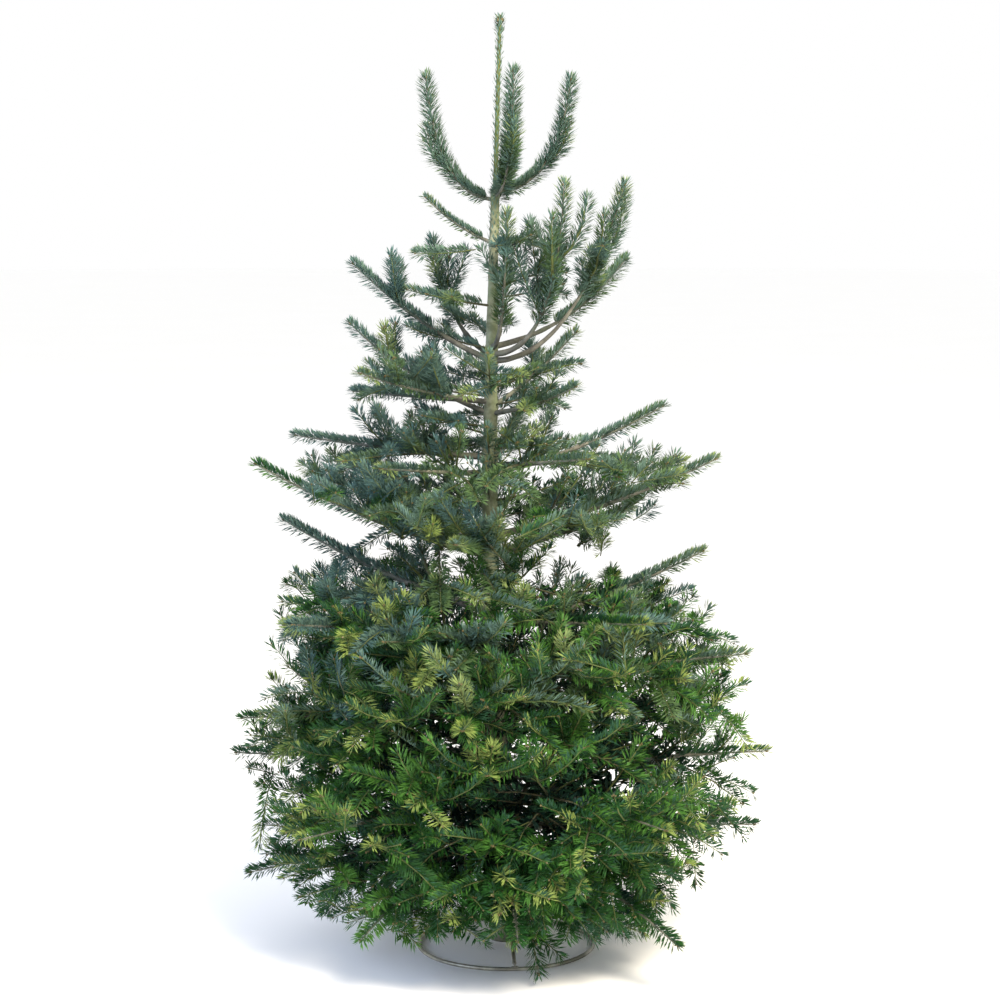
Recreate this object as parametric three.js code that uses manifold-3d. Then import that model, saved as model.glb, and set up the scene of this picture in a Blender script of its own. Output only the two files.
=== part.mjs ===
// A cut Nordmann fir, 1.85 m tall, held upright in a steel ring stand. Millimetres, +Z up.
//
// The trunk is one tapered pole from its sawn foot to the leader's buds. Boughs leave it in whorls, as a fir
// grows one whorl a year, with weaker boughs between them. Every bough is a quadratic arc in its own
// vertical plane. Where a bough is clothed in needles it is a mass of foliage: one stem, with side shoots
// that branch from it by rule, and the facets of a shoot are drawn out into broad needles.
import * as THREE from "three";
import { mergeVertices } from "three/addons/utils/BufferGeometryUtils.js";
import Module from "manifold-3d";

const wasm = await Module();
wasm.setup();

// ---------------------------------------------------------------- driving dimensions
const TREE_HEIGHT = 1850; // floor to the top of the leader
const TOP_LEAN = 12; // how far the leader's tip stands to the left of the foot
const TRUNK_BOW = 28; // how far the trunk bows to the left below mid height
const UPRIGHT_FOOT = 650; // the bow grows from nothing at the foot to its full share at this height
const FOOT_HEIGHT = 17.4; // the sawn end, standing on the socket's plate
const FOOT_RADIUS = 26;
const LEADER_FOOT = 1508; // height of the youngest whorl, where the leader starts
const RADIUS_BELOW_LEADER = 8;
const LEADER_RADIUS = 4.8;
const LEADER_TIP_RADIUS = 3.4;
const TRUNK_SIDES = 10;
const TRUNK_STEPS = 16;
const BUD_RADIUS = 5;
const BUD_LENGTH = 1.25; // a bud's length, in widths
const SIDE_BUDS = 5; // buds round the leader's top bud
const SIDE_BUD_DROP = 7; // how far below the top bud they are

const CUT_GAP = 0.45; // how much wider than its neighbour a solid's cut for that neighbour is, all round
const GAP = 0.3; // no two solids come closer than this

const RING_DIAMETER = 352; // to the middle of the bar
const BAR = 8; // diameter of the ring's and struts' round steel bar
const SOCKET_BORE = 62;
const SOCKET_WALL = 2.5;
const SOCKET_PLATE = 3; // thickness of the plate that the trunk's foot stands on
const SOCKET_FOOT = 14;
const SOCKET_TOP = 126;
const STRUT_FOOT_AZIMUTH = 275.5; // degrees, anticlockwise from +X
const STRUT_TOP_HEIGHT = 104;
const STRUTS = 3; // a thumb screw stands between each two of them
const SCREW_HEIGHT = 112;
const SCREW_RADIUS = 4;
const SCREW_REACH = 24; // from the socket's outside to the screw's cross bar
const CROSS_BAR_HALF = 19;

// ---------------------------------------------------------------- the crown
// height: where the tier leaves the trunk. radius: of its boughs. limbs: one row for each bough, as
//   [name, azimuth in degrees, reach, rise, bend out, bend up, bare if it has its own]
// reach and rise lead from the trunk's axis to the bough's tip, and the two bends place the arc's middle
// point as shares of them. bare: the share of the bough with no needles. ownBough: the limbs whose bare stretch
// is a solid of its own, up to the mass. needle: length of the drawn-out needles. steps: rings of needles on
// the stem. pairs: stations of the side shoots, as shares of the bough. side: length of a side shoot at the
// trunk, as a share of the bough's. fork: the station of one upright side shoot.
const TIERS = [
  { tier: "leader_whorl", height: 1500, radius: 3.6, bare: 0.2, needle: 33, steps: 7, fork: 0.46,
    limbs: [
      ["left", 184, 134, 236, 0.85, 0.02],
      ["front", 287, 120, 234, 0.9, 0.02],
      ["right", 358, 146, 216, 0.85, 0.02],
      ["back", 72, 100, 200, 0.85, 0.02],
    ] },
  { tier: "twig_below_leader", height: 1415, radius: 3.6, bare: 0.15, needle: 22, steps: 6,
    limbs: [
      ["left", 181, 134, 90, 0.55, 0.3],
    ] },
  { tier: "upper_whorl", height: 1192, radius: 6.5, bare: 0.42, ownBough: ["right", "front", "left"],
    needle: 40, steps: 5, pairs: [0.55, 0.74], side: 0.75,
    limbs: [
      ["right", 350, 262, 344, 0.62, 0.0, 0.6],
      ["front_right", 318, 186, 330, 0.9, 0.0],
      ["front", 283, 130, 262, 0.85, 0.0],
      ["left", 177, 272, 190, 0.5, 0.3],
      ["back_left", 124, 214, 222, 0.7, 0.1],
      ["back_right", 36, 335, 168, 0.6, 0.15],
    ] },
  { tier: "upper_twigs", height: 1086, radius: 5.5, bare: 0.28, needle: 40, steps: 5, pairs: [0.46, 0.7],
    side: 0.66,
    limbs: [
      ["left", 180, 276, 178, 0.55, 0.3],
      ["back_right", 24, 186, 146, 0.5, 0.35],
      ["front_left", 214, 300, 68, 0.55, 0.3],
      ["front_right", 318, 220, 64, 0.6, 0.3],
      ["back", 92, 250, 96, 0.6, 0.3],
      ["back_left", 148, 330, 8, 0.6, 0.3],
    ] },
  { tier: "middle_whorl", height: 972, radius: 7.5, bare: 0.2, needle: 52, steps: 5, pairs: [0.38, 0.62],
    side: 0.6,
    limbs: [
      ["right", 10, 350, 128, 0.5, 0.25],
      ["back", 78, 350, 92, 0.5, 0.3],
      ["left", 168, 400, 36, 0.5, 0.3],
      ["front_left", 232, 330, 36, 0.5, 0.4],
      ["front_right", 304, 330, 40, 0.5, 0.4],
    ] },
  { tier: "waist_whorl", height: 812, radius: 9, bare: 0.18, needle: 58, steps: 6, pairs: [0.38, 0.66],
    side: 0.66,
    limbs: [
      ["left", 185, 460, 186, 0.5, 0.3],
      ["front", 262, 430, 60, 0.5, 0.4],
      ["right", 352, 446, 160, 0.5, 0.3],
      ["back_right", 46, 430, 54, 0.5, 0.4],
      ["back_left", 118, 440, 96, 0.5, 0.35],
    ] },
  { tier: "broad_whorl", height: 660, radius: 10, bare: 0.16, needle: 62, steps: 6, pairs: [0.38, 0.66],
    side: 0.64,
    limbs: [
      ["right", 12, 440, 150, 0.5, 0.3],
      ["back", 82, 470, 92, 0.5, 0.4],
      ["left", 164, 436, 168, 0.5, 0.3],
      ["front_left", 222, 490, 70, 0.5, 0.45],
      ["front_right", 306, 484, 60, 0.5, 0.45],
    ] },
  { tier: "deep_whorl", height: 512, radius: 11, bare: 0.16, needle: 64, steps: 6, pairs: [0.38, 0.66],
    side: 0.62,
    limbs: [
      ["left", 190, 500, -6, 0.5, 0.6],
      ["front", 264, 506, 34, 0.5, 0.6],
      ["right", 340, 520, 92, 0.5, 0.55],
      ["back_right", 50, 508, 80, 0.5, 0.55],
      ["back_left", 122, 504, 84, 0.5, 0.55],
    ] },
  { tier: "wide_whorl", height: 374, radius: 12, bare: 0.16, needle: 66, steps: 6, pairs: [0.38, 0.66],
    side: 0.6,
    limbs: [
      ["right", 6, 546, 36, 0.5, 0.9],
      ["back", 84, 520, 14, 0.5, 1.0],
      ["left", 168, 546, -30, 0.5, 1.0],
      ["front_left", 226, 528, -34, 0.5, 1.0],
      ["front_right", 306, 528, -30, 0.5, 1.0],
    ] },
  { tier: "lowest_whorl", height: 244, radius: 11, bare: 0.2, needle: 62, steps: 6, pairs: [0.38, 0.66],
    side: 0.56,
    limbs: [
      ["left", 184, 505, -62, 0.5, 0.05],
      ["front_left", 236, 470, -118, 0.5, 0.05],
      ["front", 274, 430, -132, 0.5, 0.05],
      ["front_right", 314, 470, -120, 0.5, 0.05],
      ["right", 6, 515, -10, 0.5, 0.05],
      ["back", 92, 500, -96, 0.5, 0.05],
    ] },
];

const FOOT_STAGGER = 2.1; // neighbours in a tier leave the trunk this many bough radii above each other
const TAPER = 0.72; // a limb loses this share of its radius towards its tip
const SIDE_ANGLE = 52; // degrees between a stem and its side shoots
const SIDE_ANGLE_SPREAD = 14;
const SIDE_LIFTS = [0.26, -0.12]; // how far they turn up or down, in turn, as a share of their length
const SIDE_BARE = 0.14; // the share of a side shoot without needles, where it leaves its stem
const SIDE_STEP = 84; // how far apart the rings of needles on a side shoot are
const SHORTEST_SIDE = 50;
const SIDE_RADIUS = 0.55; // a side shoot's radius and needles, as shares of its stem's
const SIDE_NEEDLE = 0.9;
const FORK_LENGTH = 0.36; // a fork's length, as a share of the bough's
const FACINGS = [212, 328, 90]; // where a twig's three facets look, seen along it: down to either side, and up
const FACING_SPREAD = 24;
const BRANCH_TURNS = [-1, 1, 0]; // which side shoots leave from each of those facets
const NEEDLE_OUT = 0.8; // how far a needle stands out and leans forward, as shares of its length
const NEEDLE_FORWARD = 0.6;
const TOP_NEEDLE = 0.9; // the upper needles are this much shorter
const LAST_RING = 0.94; // the needles end here, as a share of the shoot
const FLOOR_CLEARANCE = 12; // the lowest needles hang this far above the floor

const degrees = Math.PI / 180;
const UP = new THREE.Vector3(0, 0, 1);

const COLOURS = {
  bark: new THREE.MeshStandardMaterial({ color: "#7d7462", roughness: 0.9 }),
  boughBark: new THREE.MeshStandardMaterial({ color: "#776a52", roughness: 0.85 }),
  upperNeedles: new THREE.MeshStandardMaterial({ color: "#4f6b4c", roughness: 0.6 }),
  lowerNeedles: new THREE.MeshStandardMaterial({ color: "#3c6128", roughness: 0.6 }),
  steel: new THREE.MeshStandardMaterial({ color: "#6d6c64", roughness: 0.4, metalness: 0.9 }),
};

// ---------------------------------------------------------------- helpers
// A repeatable number from 0 to 1 for a whole-number seed.
function chance(seed) {
  const wave = Math.sin(seed * 12.9898 + 4.1414) * 43758.5453;
  return wave - Math.floor(wave);
}

// A closed mesh as a solid that can be joined and cut.
function solidOf(geometry) {
  const bare = geometry.clone();
  bare.deleteAttribute("normal");
  bare.deleteAttribute("uv");
  const merged = mergeVertices(bare, 1e-4);
  return new wasm.Manifold(
    new wasm.Mesh({
      numProp: 3,
      vertProperties: merged.attributes.position.array,
      triVerts: new Uint32Array(merged.index.array),
    }),
  );
}

// A solid's largest body, with any sealed hollow in it filled and any loose scrap dropped.
function wholeBody(solid) {
  return solid.decompose().reduce((largest, body) => (body.volume() > largest.volume() ? body : largest));
}

// A solid as a mesh again.
function geometryOf(solid) {
  const mesh = solid.getMesh();
  const geometry = new THREE.BufferGeometry();
  geometry.setAttribute("position", new THREE.BufferAttribute(mesh.vertProperties, 3));
  geometry.setIndex(new THREE.BufferAttribute(mesh.triVerts, 1));
  geometry.computeVertexNormals();
  return geometry;
}

// A point at an azimuth in degrees, a distance from the Z axis and a height.
function around(azimuth, distance, height) {
  return new THREE.Vector3(
    distance * Math.cos(azimuth * degrees),
    distance * Math.sin(azimuth * degrees),
    height,
  );
}

// Whether two boxes come within GAP of each other.
function boxesMeet(a, b) {
  return [0, 1, 2].every((k) => a.min[k] - GAP < b.max[k] && b.min[k] - GAP < a.max[k]);
}

// ---------------------------------------------------------------- the trunk
// The trunk's middle at a height: a lean to the left with a bow on it.
function trunkMiddle(height) {
  const share = height / TREE_HEIGHT;
  const bow = Math.sin(Math.PI * Math.pow(share, 0.7)) * THREE.MathUtils.smoothstep(height, 0, UPRIGHT_FOOT);
  return new THREE.Vector3(-TOP_LEAN * share - TRUNK_BOW * bow, 0, height);
}

// The trunk's radius at a height: one taper up to the youngest whorl, and a slimmer one for the leader.
function trunkRadius(height) {
  if (height <= LEADER_FOOT) {
    const share = (height - FOOT_HEIGHT) / (LEADER_FOOT - FOOT_HEIGHT);
    return THREE.MathUtils.lerp(FOOT_RADIUS, RADIUS_BELOW_LEADER, Math.pow(share, 0.85));
  }
  const share = (height - LEADER_FOOT) / (TREE_HEIGHT - LEADER_FOOT);
  return THREE.MathUtils.lerp(LEADER_RADIUS, LEADER_TIP_RADIUS, share);
}

// A round pole up the trunk's middle line, extra millimetres thicker than the trunk all round.
function trunkPole(extra) {
  const top = TREE_HEIGHT - BUD_RADIUS * BUD_LENGTH;
  const pole = new THREE.CylinderGeometry(1, 1, 1, TRUNK_SIDES, TRUNK_STEPS);
  const corners = pole.attributes.position;
  for (let i = 0; i < corners.count; i++) {
    const height = THREE.MathUtils.lerp(FOOT_HEIGHT, top, corners.getY(i) + 0.5);
    const radius = trunkRadius(height) + extra;
    const middle = trunkMiddle(height);
    corners.setXYZ(i, middle.x + corners.getX(i) * radius, middle.y - corners.getZ(i) * radius, height);
  }
  return solidOf(pole);
}

// The leader ends in one bud ringed by others, a little lower.
function leaderBuds() {
  const top = TREE_HEIGHT - BUD_RADIUS * BUD_LENGTH;
  const middles = [trunkMiddle(top)];
  for (let k = 0; k < SIDE_BUDS; k++) {
    middles.push(trunkMiddle(top - SIDE_BUD_DROP).add(around((360 / SIDE_BUDS) * k + 20, BUD_RADIUS * 1.3, 0)));
  }
  return middles.map((middle) => {
    const bud = new THREE.OctahedronGeometry(BUD_RADIUS, 0).scale(1, 1, BUD_LENGTH);
    return solidOf(bud.translate(middle.x, middle.y, middle.z));
  });
}

const trunk = leaderBuds().reduce((whole, bud) => whole.add(bud), trunkPole(0));
const trunkWithGap = trunkPole(CUT_GAP);

// ---------------------------------------------------------------- limbs
// An arc from foot to tip, in one vertical plane.
function arc(foot, bend, tip) {
  const curve = new THREE.QuadraticBezierCurve3(foot, bend, tip);
  const run = tip.clone().sub(foot);
  const side = new THREE.Vector3().crossVectors(UP, run);
  if (side.length() < 0.05 * run.length()) side.set(0, 1, 0);
  side.normalize();
  return {
    length: curve.getLength(),
    side,
    at: (t) => curve.getPoint(t),
    heading: (t) => curve.getTangent(t),
    lift: (t) => new THREE.Vector3().crossVectors(curve.getTangent(t), side).normalize(),
  };
}

// The arc of a bough: azimuth, reach and rise lead to its tip. Neighbours in a tier leave the trunk at
// slightly different heights, so that their feet don't crowd each other.
function boughArc(tier, [, azimuth, reach, rise, bendOut, bendUp], place) {
  const foot = trunkMiddle(tier.height + ((place % 3) - 1) * FOOT_STAGGER * tier.radius);
  return arc(
    foot,
    foot.clone().add(around(azimuth, reach * bendOut, rise * bendUp)),
    foot.clone().add(around(azimuth, reach, rise)),
  );
}

// The radius of a bough at a share of its length.
const taper = (radius, t) => radius * (1 - TAPER * t);

// A bare limb along an arc from share t0 to share t1: a six-sided pole bent to the arc.
function bareLimb(line, t0, t1, radius) {
  const pole = new THREE.CylinderGeometry(1, 1, 1, 6, 5);
  const corners = pole.attributes.position;
  for (let i = 0; i < corners.count; i++) {
    const t = THREE.MathUtils.lerp(t0, t1, corners.getY(i) + 0.5);
    const point = line
      .at(t)
      .addScaledVector(line.side, corners.getX(i) * taper(radius, t))
      .addScaledVector(line.lift(t), -corners.getZ(i) * taper(radius, t));
    corners.setXYZ(i, point.x, point.y, point.z);
  }
  return solidOf(pole);
}

// A solid from a list of triangles that close on each other.
function closedSolid(faces) {
  const geometry = new THREE.BufferGeometry();
  const corners = faces.flat().flatMap((p) => [p.x, p.y, p.z]);
  geometry.setAttribute("position", new THREE.Float32BufferAttribute(corners, 3));
  return solidOf(geometry);
}

// The tip of the needle that facet k of a twig is drawn out into, at share t of its arc.
function needleTip(line, t, corners, k, length, seed) {
  const facing = (FACINGS[k] + FACING_SPREAD * (chance(seed + 7 * k) - 0.5)) * degrees;
  return corners
    .reduce((sum, corner) => sum.addScaledVector(corner, 1 / corners.length), new THREE.Vector3())
    .addScaledVector(line.side, Math.cos(facing) * length * NEEDLE_OUT)
    .addScaledVector(line.lift(t), Math.sin(facing) * length * NEEDLE_OUT)
    .addScaledVector(line.heading(t), length * NEEDLE_FORWARD);
}

// A shoot along an arc: a three-sided twig, bare from share t0 to share bare, and then with every facet drawn
// out into a needle that leans forward. It ends in a point. A needle that would come too close to a neighbour
// is made shorter, or skipped: its facet then stays flat, as it does where one of the branches leaves it.
function needledShoot(line, { t0, bare, bareSteps, steps, radius, needle, seed, isOpen, branches }) {
  const stations = [];
  for (let i = 0; i < bareSteps; i++) stations.push(THREE.MathUtils.lerp(t0, bare, i / bareSteps));
  const first = bareSteps ? bare : t0;
  for (let i = 0; i <= steps; i++) stations.push(THREE.MathUtils.lerp(first, LAST_RING, i / steps));

  const corner = (t, k) => {
    const angle = (150 + 120 * k) * degrees;
    return line
      .at(t)
      .addScaledVector(line.side, Math.cos(angle) * taper(radius, t))
      .addScaledVector(line.lift(t), Math.sin(angle) * taper(radius, t));
  };
  const rings = stations.map((t) => [0, 1, 2].map((k) => corner(t, k)));
  const last = rings.length - 1;
  const faces = [[rings[0][2], rings[0][1], rings[0][0]]];

  for (let i = 0; i < last; i++) {
    for (let k = 0; k < 3; k++) {
      const [a, b] = [rings[i][k], rings[i][(k + 1) % 3]];
      const [c, d] = [rings[i + 1][(k + 1) % 3], rings[i + 1][k]];
      const isBranch = branches.some(
        (branch) => branch.turn === BRANCH_TURNS[k] && branch.t >= stations[i] && branch.t < stations[i + 1],
      );
      const length = needle * (0.8 + 0.35 * chance(seed + 17 * i + 5 * k)) * (k === 2 ? TOP_NEEDLE : 1);
      const middle = (stations[i] + stations[i + 1]) / 2;
      const tip = (share) => needleTip(line, middle, [a, b, c, d], k, length * share, seed + 31 * i);
      const pyramid = (point) => [[a, b, point], [b, c, point], [c, d, point], [d, a, point]];
      const tries = i < bareSteps || isBranch ? [] : [tip(1), tip(0.7)];
      const point = tries.find((p) => isOpen(closedSolid([...pyramid(p), [c, b, a], [d, c, a]])));
      faces.push(...(point ? pyramid(point) : [[a, b, c], [a, c, d]]));
    }
  }
  for (let k = 0; k < 3; k++) faces.push([rings[last][k], rings[last][(k + 1) % 3], line.at(1)]);
  return closedSolid(faces);
}

// A side shoot's arc: it leaves a stem at share t, turned to one side (+1 or -1), and lifts towards its tip.
function sideArc(stem, t, turn, length, angle, lift) {
  const foot = stem.at(t);
  const ahead = stem
    .heading(t)
    .multiplyScalar(Math.cos(angle * degrees))
    .addScaledVector(stem.side, turn * Math.sin(angle * degrees));
  return arc(
    foot,
    foot.clone().addScaledVector(ahead, length * 0.55),
    foot.clone().addScaledVector(ahead, length).addScaledVector(UP, length * lift),
  );
}

// A fork's arc: it leaves the outer side of a bough that sweeps upright, and turns up beside it.
function forkArc(stem, t, azimuth, length) {
  const foot = stem.at(t);
  return arc(
    foot,
    foot.clone().add(around(azimuth, length * 0.5, length * 0.25)),
    foot.clone().add(around(azimuth, length * 0.52, length * 0.95)),
  );
}

// ---------------------------------------------------------------- building the tree
const fir = new THREE.Group();
const placed = [];

function addNode(name, solid, material) {
  placed.push({ name, solid, box: solid.boundingBox() });
  const mesh = new THREE.Mesh(geometryOf(solid), material);
  mesh.name = name;
  fir.add(mesh);
}

// Whether a solid keeps its own space: clear of everything placed so far, and off the floor.
function isClear(solid) {
  const box = solid.boundingBox();
  if (box.min[2] < FLOOR_CLEARANCE) return false;
  return placed.every((other) => !boxesMeet(box, other.box) || solid.minGap(other.solid, 2 * GAP) >= GAP);
}

// The longest of several ever shorter shoots whose twig is clear, with all of its needles that are clear.
function clearShoot(make) {
  for (const share of [1, 0.8, 0.6, 0.45]) {
    if (isClear(make(share, () => false))) return make(share, isClear);
  }
  return null;
}

// The side shoots that leave a bough: a pair at each station, longest near the trunk.
function branchesOf(tier, length, bare, seed) {
  return (tier.pairs || []).flatMap((station, p) =>
    [1, -1].map((turn) => {
      const t = Math.max(station + 0.05 * turn * (chance(seed + p) - 0.2), bare + 0.04);
      return {
        t,
        turn,
        length: length * tier.side * (1.12 - t) + SHORTEST_SIDE,
        angle: SIDE_ANGLE + SIDE_ANGLE_SPREAD * (chance(seed + 3 * p + turn) - 0.5),
        lift: SIDE_LIFTS[p % SIDE_LIFTS.length],
        seed: seed + 100 * p + 10 * turn,
      };
    }),
  );
}

// A mass with one more shoot fused on, if there is room for it.
function withShoot(mass, tier, length, seed, makeArc) {
  const outsideMass = (needle) => needle.minGap(mass, 1) > 0.5;
  const shoot = clearShoot((share, isOpen) =>
    needledShoot(makeArc(length * share), {
      t0: 0,
      bare: SIDE_BARE,
      bareSteps: 1,
      steps: Math.max(2, Math.round((length * share) / SIDE_STEP)),
      radius: tier.radius * SIDE_RADIUS,
      needle: tier.needle * SIDE_NEEDLE,
      seed,
      isOpen: (needle) => isOpen(needle) && outsideMass(needle),
      branches: [],
    }),
  );
  return shoot ? mass.add(shoot) : mass;
}

// One bough: its bare limb where that is a solid of its own, and its mass of foliage.
function growBough(tier, row, place, seed) {
  const [name, azimuth, , , , , bare = tier.bare] = row;
  const line = boughArc(tier, row, place);
  const node = tier.tier + "_" + name;
  const ownBough = (tier.ownBough || []).includes(name);
  const branches = branchesOf(tier, line.length, bare, seed);
  if (ownBough) {
    const limb = bareLimb(line, 0, bare, tier.radius).subtract(trunkWithGap);
    addNode(node + "_bough", limb, COLOURS.boughBark);
  }

  let mass = clearShoot((share, isOpen) => {
    const stem = needledShoot(line, {
      t0: ownBough ? bare + CUT_GAP / line.length : 0,
      bare,
      bareSteps: ownBough ? 0 : 2,
      steps: tier.steps,
      radius: tier.radius,
      needle: tier.needle,
      seed,
      isOpen,
      branches,
    });
    return ownBough ? stem : stem.subtract(trunkWithGap);
  });
  if (!mass) throw new Error(node + " has no room for its stem");
  for (const { t, turn, length, angle, lift, seed: sideSeed } of branches) {
    mass = withShoot(mass, tier, length, sideSeed, (reach) => sideArc(line, t, turn, reach, angle, lift));
  }
  if (tier.fork) {
    mass = withShoot(mass, tier, line.length * FORK_LENGTH, seed + 50, (reach) =>
      forkArc(line, tier.fork, azimuth, reach),
    );
  }
  addNode(node, wholeBody(mass), tier.height > 900 ? COLOURS.upperNeedles : COLOURS.lowerNeedles);
}

// ---------------------------------------------------------------- the stand
// A ring of round bar that lies on the floor. Its bar has eight flats, one of them underneath.
function hoop() {
  const flats = 8;
  const radius = BAR / 2 / Math.cos(Math.PI / flats);
  const section = [];
  for (let i = 0; i <= flats; i++) {
    const angle = ((i + 0.5) / flats) * 2 * Math.PI;
    section.push(
      new THREE.Vector2(RING_DIAMETER / 2 + radius * Math.cos(angle), BAR / 2 + radius * Math.sin(angle)),
    );
  }
  return solidOf(new THREE.LatheGeometry(section, 36).rotateX(Math.PI / 2));
}

// A bar between two points.
function bar(from, to, radius, sides = 8) {
  const run = to.clone().sub(from);
  const made = new THREE.CylinderGeometry(radius, radius, run.length(), sides);
  made.applyQuaternion(new THREE.Quaternion().setFromUnitVectors(new THREE.Vector3(0, 1, 0), run.normalize()));
  const middle = from.clone().add(to).multiplyScalar(0.5);
  return solidOf(made.translate(middle.x, middle.y, middle.z));
}

// The socket: a tube closed below by a plate, as one turned shape, with a hole for each thumb screw.
function socket() {
  const bore = SOCKET_BORE / 2;
  const profile = [
    new THREE.Vector2(0, SOCKET_FOOT),
    new THREE.Vector2(bore + SOCKET_WALL, SOCKET_FOOT),
    new THREE.Vector2(bore + SOCKET_WALL, SOCKET_TOP),
    new THREE.Vector2(bore, SOCKET_TOP),
    new THREE.Vector2(bore, SOCKET_FOOT + SOCKET_PLATE),
    new THREE.Vector2(0, SOCKET_FOOT + SOCKET_PLATE),
  ];
  const tube = solidOf(new THREE.LatheGeometry(profile, 20).rotateX(Math.PI / 2));
  return screwAzimuths.reduce((left, azimuth) => {
    const ends = [bore - SOCKET_PLATE, bore + SOCKET_WALL + SOCKET_PLATE];
    const [from, to] = ends.map((distance) => around(azimuth, distance, SCREW_HEIGHT));
    return left.subtract(bar(from, to, SCREW_RADIUS + CUT_GAP));
  }, tube);
}

// A strut: it rises from just above the ring to the socket's wall.
function strut(azimuth) {
  const outside = SOCKET_BORE / 2 + SOCKET_WALL + CUT_GAP;
  const foot = around(azimuth, RING_DIAMETER / 2, BAR * 1.5 + CUT_GAP);
  const socketShape = bar(around(0, 0, 0), around(0, 0, SOCKET_TOP * 1.2), outside, 24);
  return bar(foot, around(azimuth, SOCKET_BORE / 2, STRUT_TOP_HEIGHT), BAR / 2).subtract(socketShape);
}

// A thumb screw: its shank runs in to the trunk's side, and a cross bar turns it.
function thumbScrew(azimuth) {
  const end = around(azimuth, SOCKET_BORE / 2 + SOCKET_WALL + SCREW_REACH, SCREW_HEIGHT);
  const across = around(azimuth + 90, CROSS_BAR_HALF, 0);
  const shank = bar(around(azimuth, FOOT_RADIUS * 0.75, SCREW_HEIGHT), end, SCREW_RADIUS);
  const crossBar = bar(end.clone().sub(across), end.clone().add(across), SCREW_RADIUS * 0.9);
  return shank.add(crossBar).subtract(trunkWithGap);
}

// ---------------------------------------------------------------- the whole tree
const strutAzimuths = Array.from({ length: STRUTS }, (_, k) => STRUT_FOOT_AZIMUTH + (360 / STRUTS) * k);
const screwAzimuths = strutAzimuths.map((azimuth) => azimuth + 180 / STRUTS);

addNode("trunk", trunk, COLOURS.bark);
addNode("stand_ring", hoop(), COLOURS.steel);
addNode("stand_socket", socket(), COLOURS.steel);
strutAzimuths.forEach((azimuth, k) => addNode("stand_strut_" + (k + 1), strut(azimuth), COLOURS.steel));
screwAzimuths.forEach((azimuth, k) => addNode("stand_screw_" + (k + 1), thumbScrew(azimuth), COLOURS.steel));

TIERS.forEach((tier, t) =>
  tier.limbs.forEach((row, place) => growBough(tier, row, place, 1000 * (10 * t + place))),
);

// The origin is on the floor, under the middle of the crown's box.
const box = new THREE.Box3().setFromObject(fir);
const middle = box.getCenter(new THREE.Vector3());
fir.position.set(-middle.x, -middle.y, -box.min.z);

export default fir;
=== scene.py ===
# %% [markdown]
# # A cut fir in a ring stand
# A Nordmann fir is built in whorls. Each spring the leader and the tip of every limb open their buds: one
# bud carries the limb on, and its neighbours become side shoots. So the whole crown follows one rule, used
# again on each finer limb. This script grows the crown by that rule, clothes the last years of growth in
# needles, wraps the trunk in bark and stands it in a welded steel ring.
# All sizes are millimetres until a mesh is made.

import bpy
import numpy as np
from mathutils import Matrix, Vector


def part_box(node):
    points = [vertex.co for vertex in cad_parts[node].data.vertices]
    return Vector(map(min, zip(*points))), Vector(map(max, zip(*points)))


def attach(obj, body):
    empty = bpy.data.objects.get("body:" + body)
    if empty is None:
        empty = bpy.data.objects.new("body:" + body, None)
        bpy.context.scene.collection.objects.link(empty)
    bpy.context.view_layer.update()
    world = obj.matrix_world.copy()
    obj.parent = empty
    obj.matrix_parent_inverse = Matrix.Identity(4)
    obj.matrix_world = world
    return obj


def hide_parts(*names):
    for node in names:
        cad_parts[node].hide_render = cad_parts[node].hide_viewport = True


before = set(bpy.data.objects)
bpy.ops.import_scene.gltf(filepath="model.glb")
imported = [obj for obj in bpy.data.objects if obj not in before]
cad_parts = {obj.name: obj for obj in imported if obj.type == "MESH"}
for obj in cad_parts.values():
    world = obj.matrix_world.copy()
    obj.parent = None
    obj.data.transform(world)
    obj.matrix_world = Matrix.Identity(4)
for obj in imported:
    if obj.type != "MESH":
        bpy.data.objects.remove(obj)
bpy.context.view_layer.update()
ring_box = np.array(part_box("stand_ring"))
FOOT_PLACE = (ring_box[0] + ring_box[1]) / 2 * (1000, 1000, 0)  # the tree's foot stands in the ring's middle
print("the tree stands at", FOOT_PLACE.round(1), "mm")

# %% [markdown]
# ## The camera
# A tree is looked at from eye height, a few steps away, so the ring on the floor shows as a flat oval. The
# lens is a long one, which keeps the crown's sides from leaning.

# %% Camera
def new_object(name, data):
    """An object for the data, in the scene."""
    made = bpy.data.objects.new(name, data)
    bpy.context.scene.collection.objects.link(made)
    return made


EYE_LEFT, EYE_BACK, EYE_HEIGHT, PITCH, LENS = 12, 4800, 1467, 6.7, 88.06
camera = new_object("camera", bpy.data.cameras.new("camera"))
camera.location = (FOOT_PLACE + (-EYE_LEFT, -EYE_BACK, EYE_HEIGHT)) / 1000
camera.rotation_euler = (np.radians(90 - PITCH), 0, 0)
camera.data.lens = LENS
bpy.context.scene.camera = camera
print("camera at", [round(v, 3) for v in camera.location], "m")

# %% [markdown]
# ## From arrays to a mesh
# Everything that grows is worked out as whole arrays of points. One helper turns points and triangles into a
# piece, moves it to the tree's place and gives each triangle its material.

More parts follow.
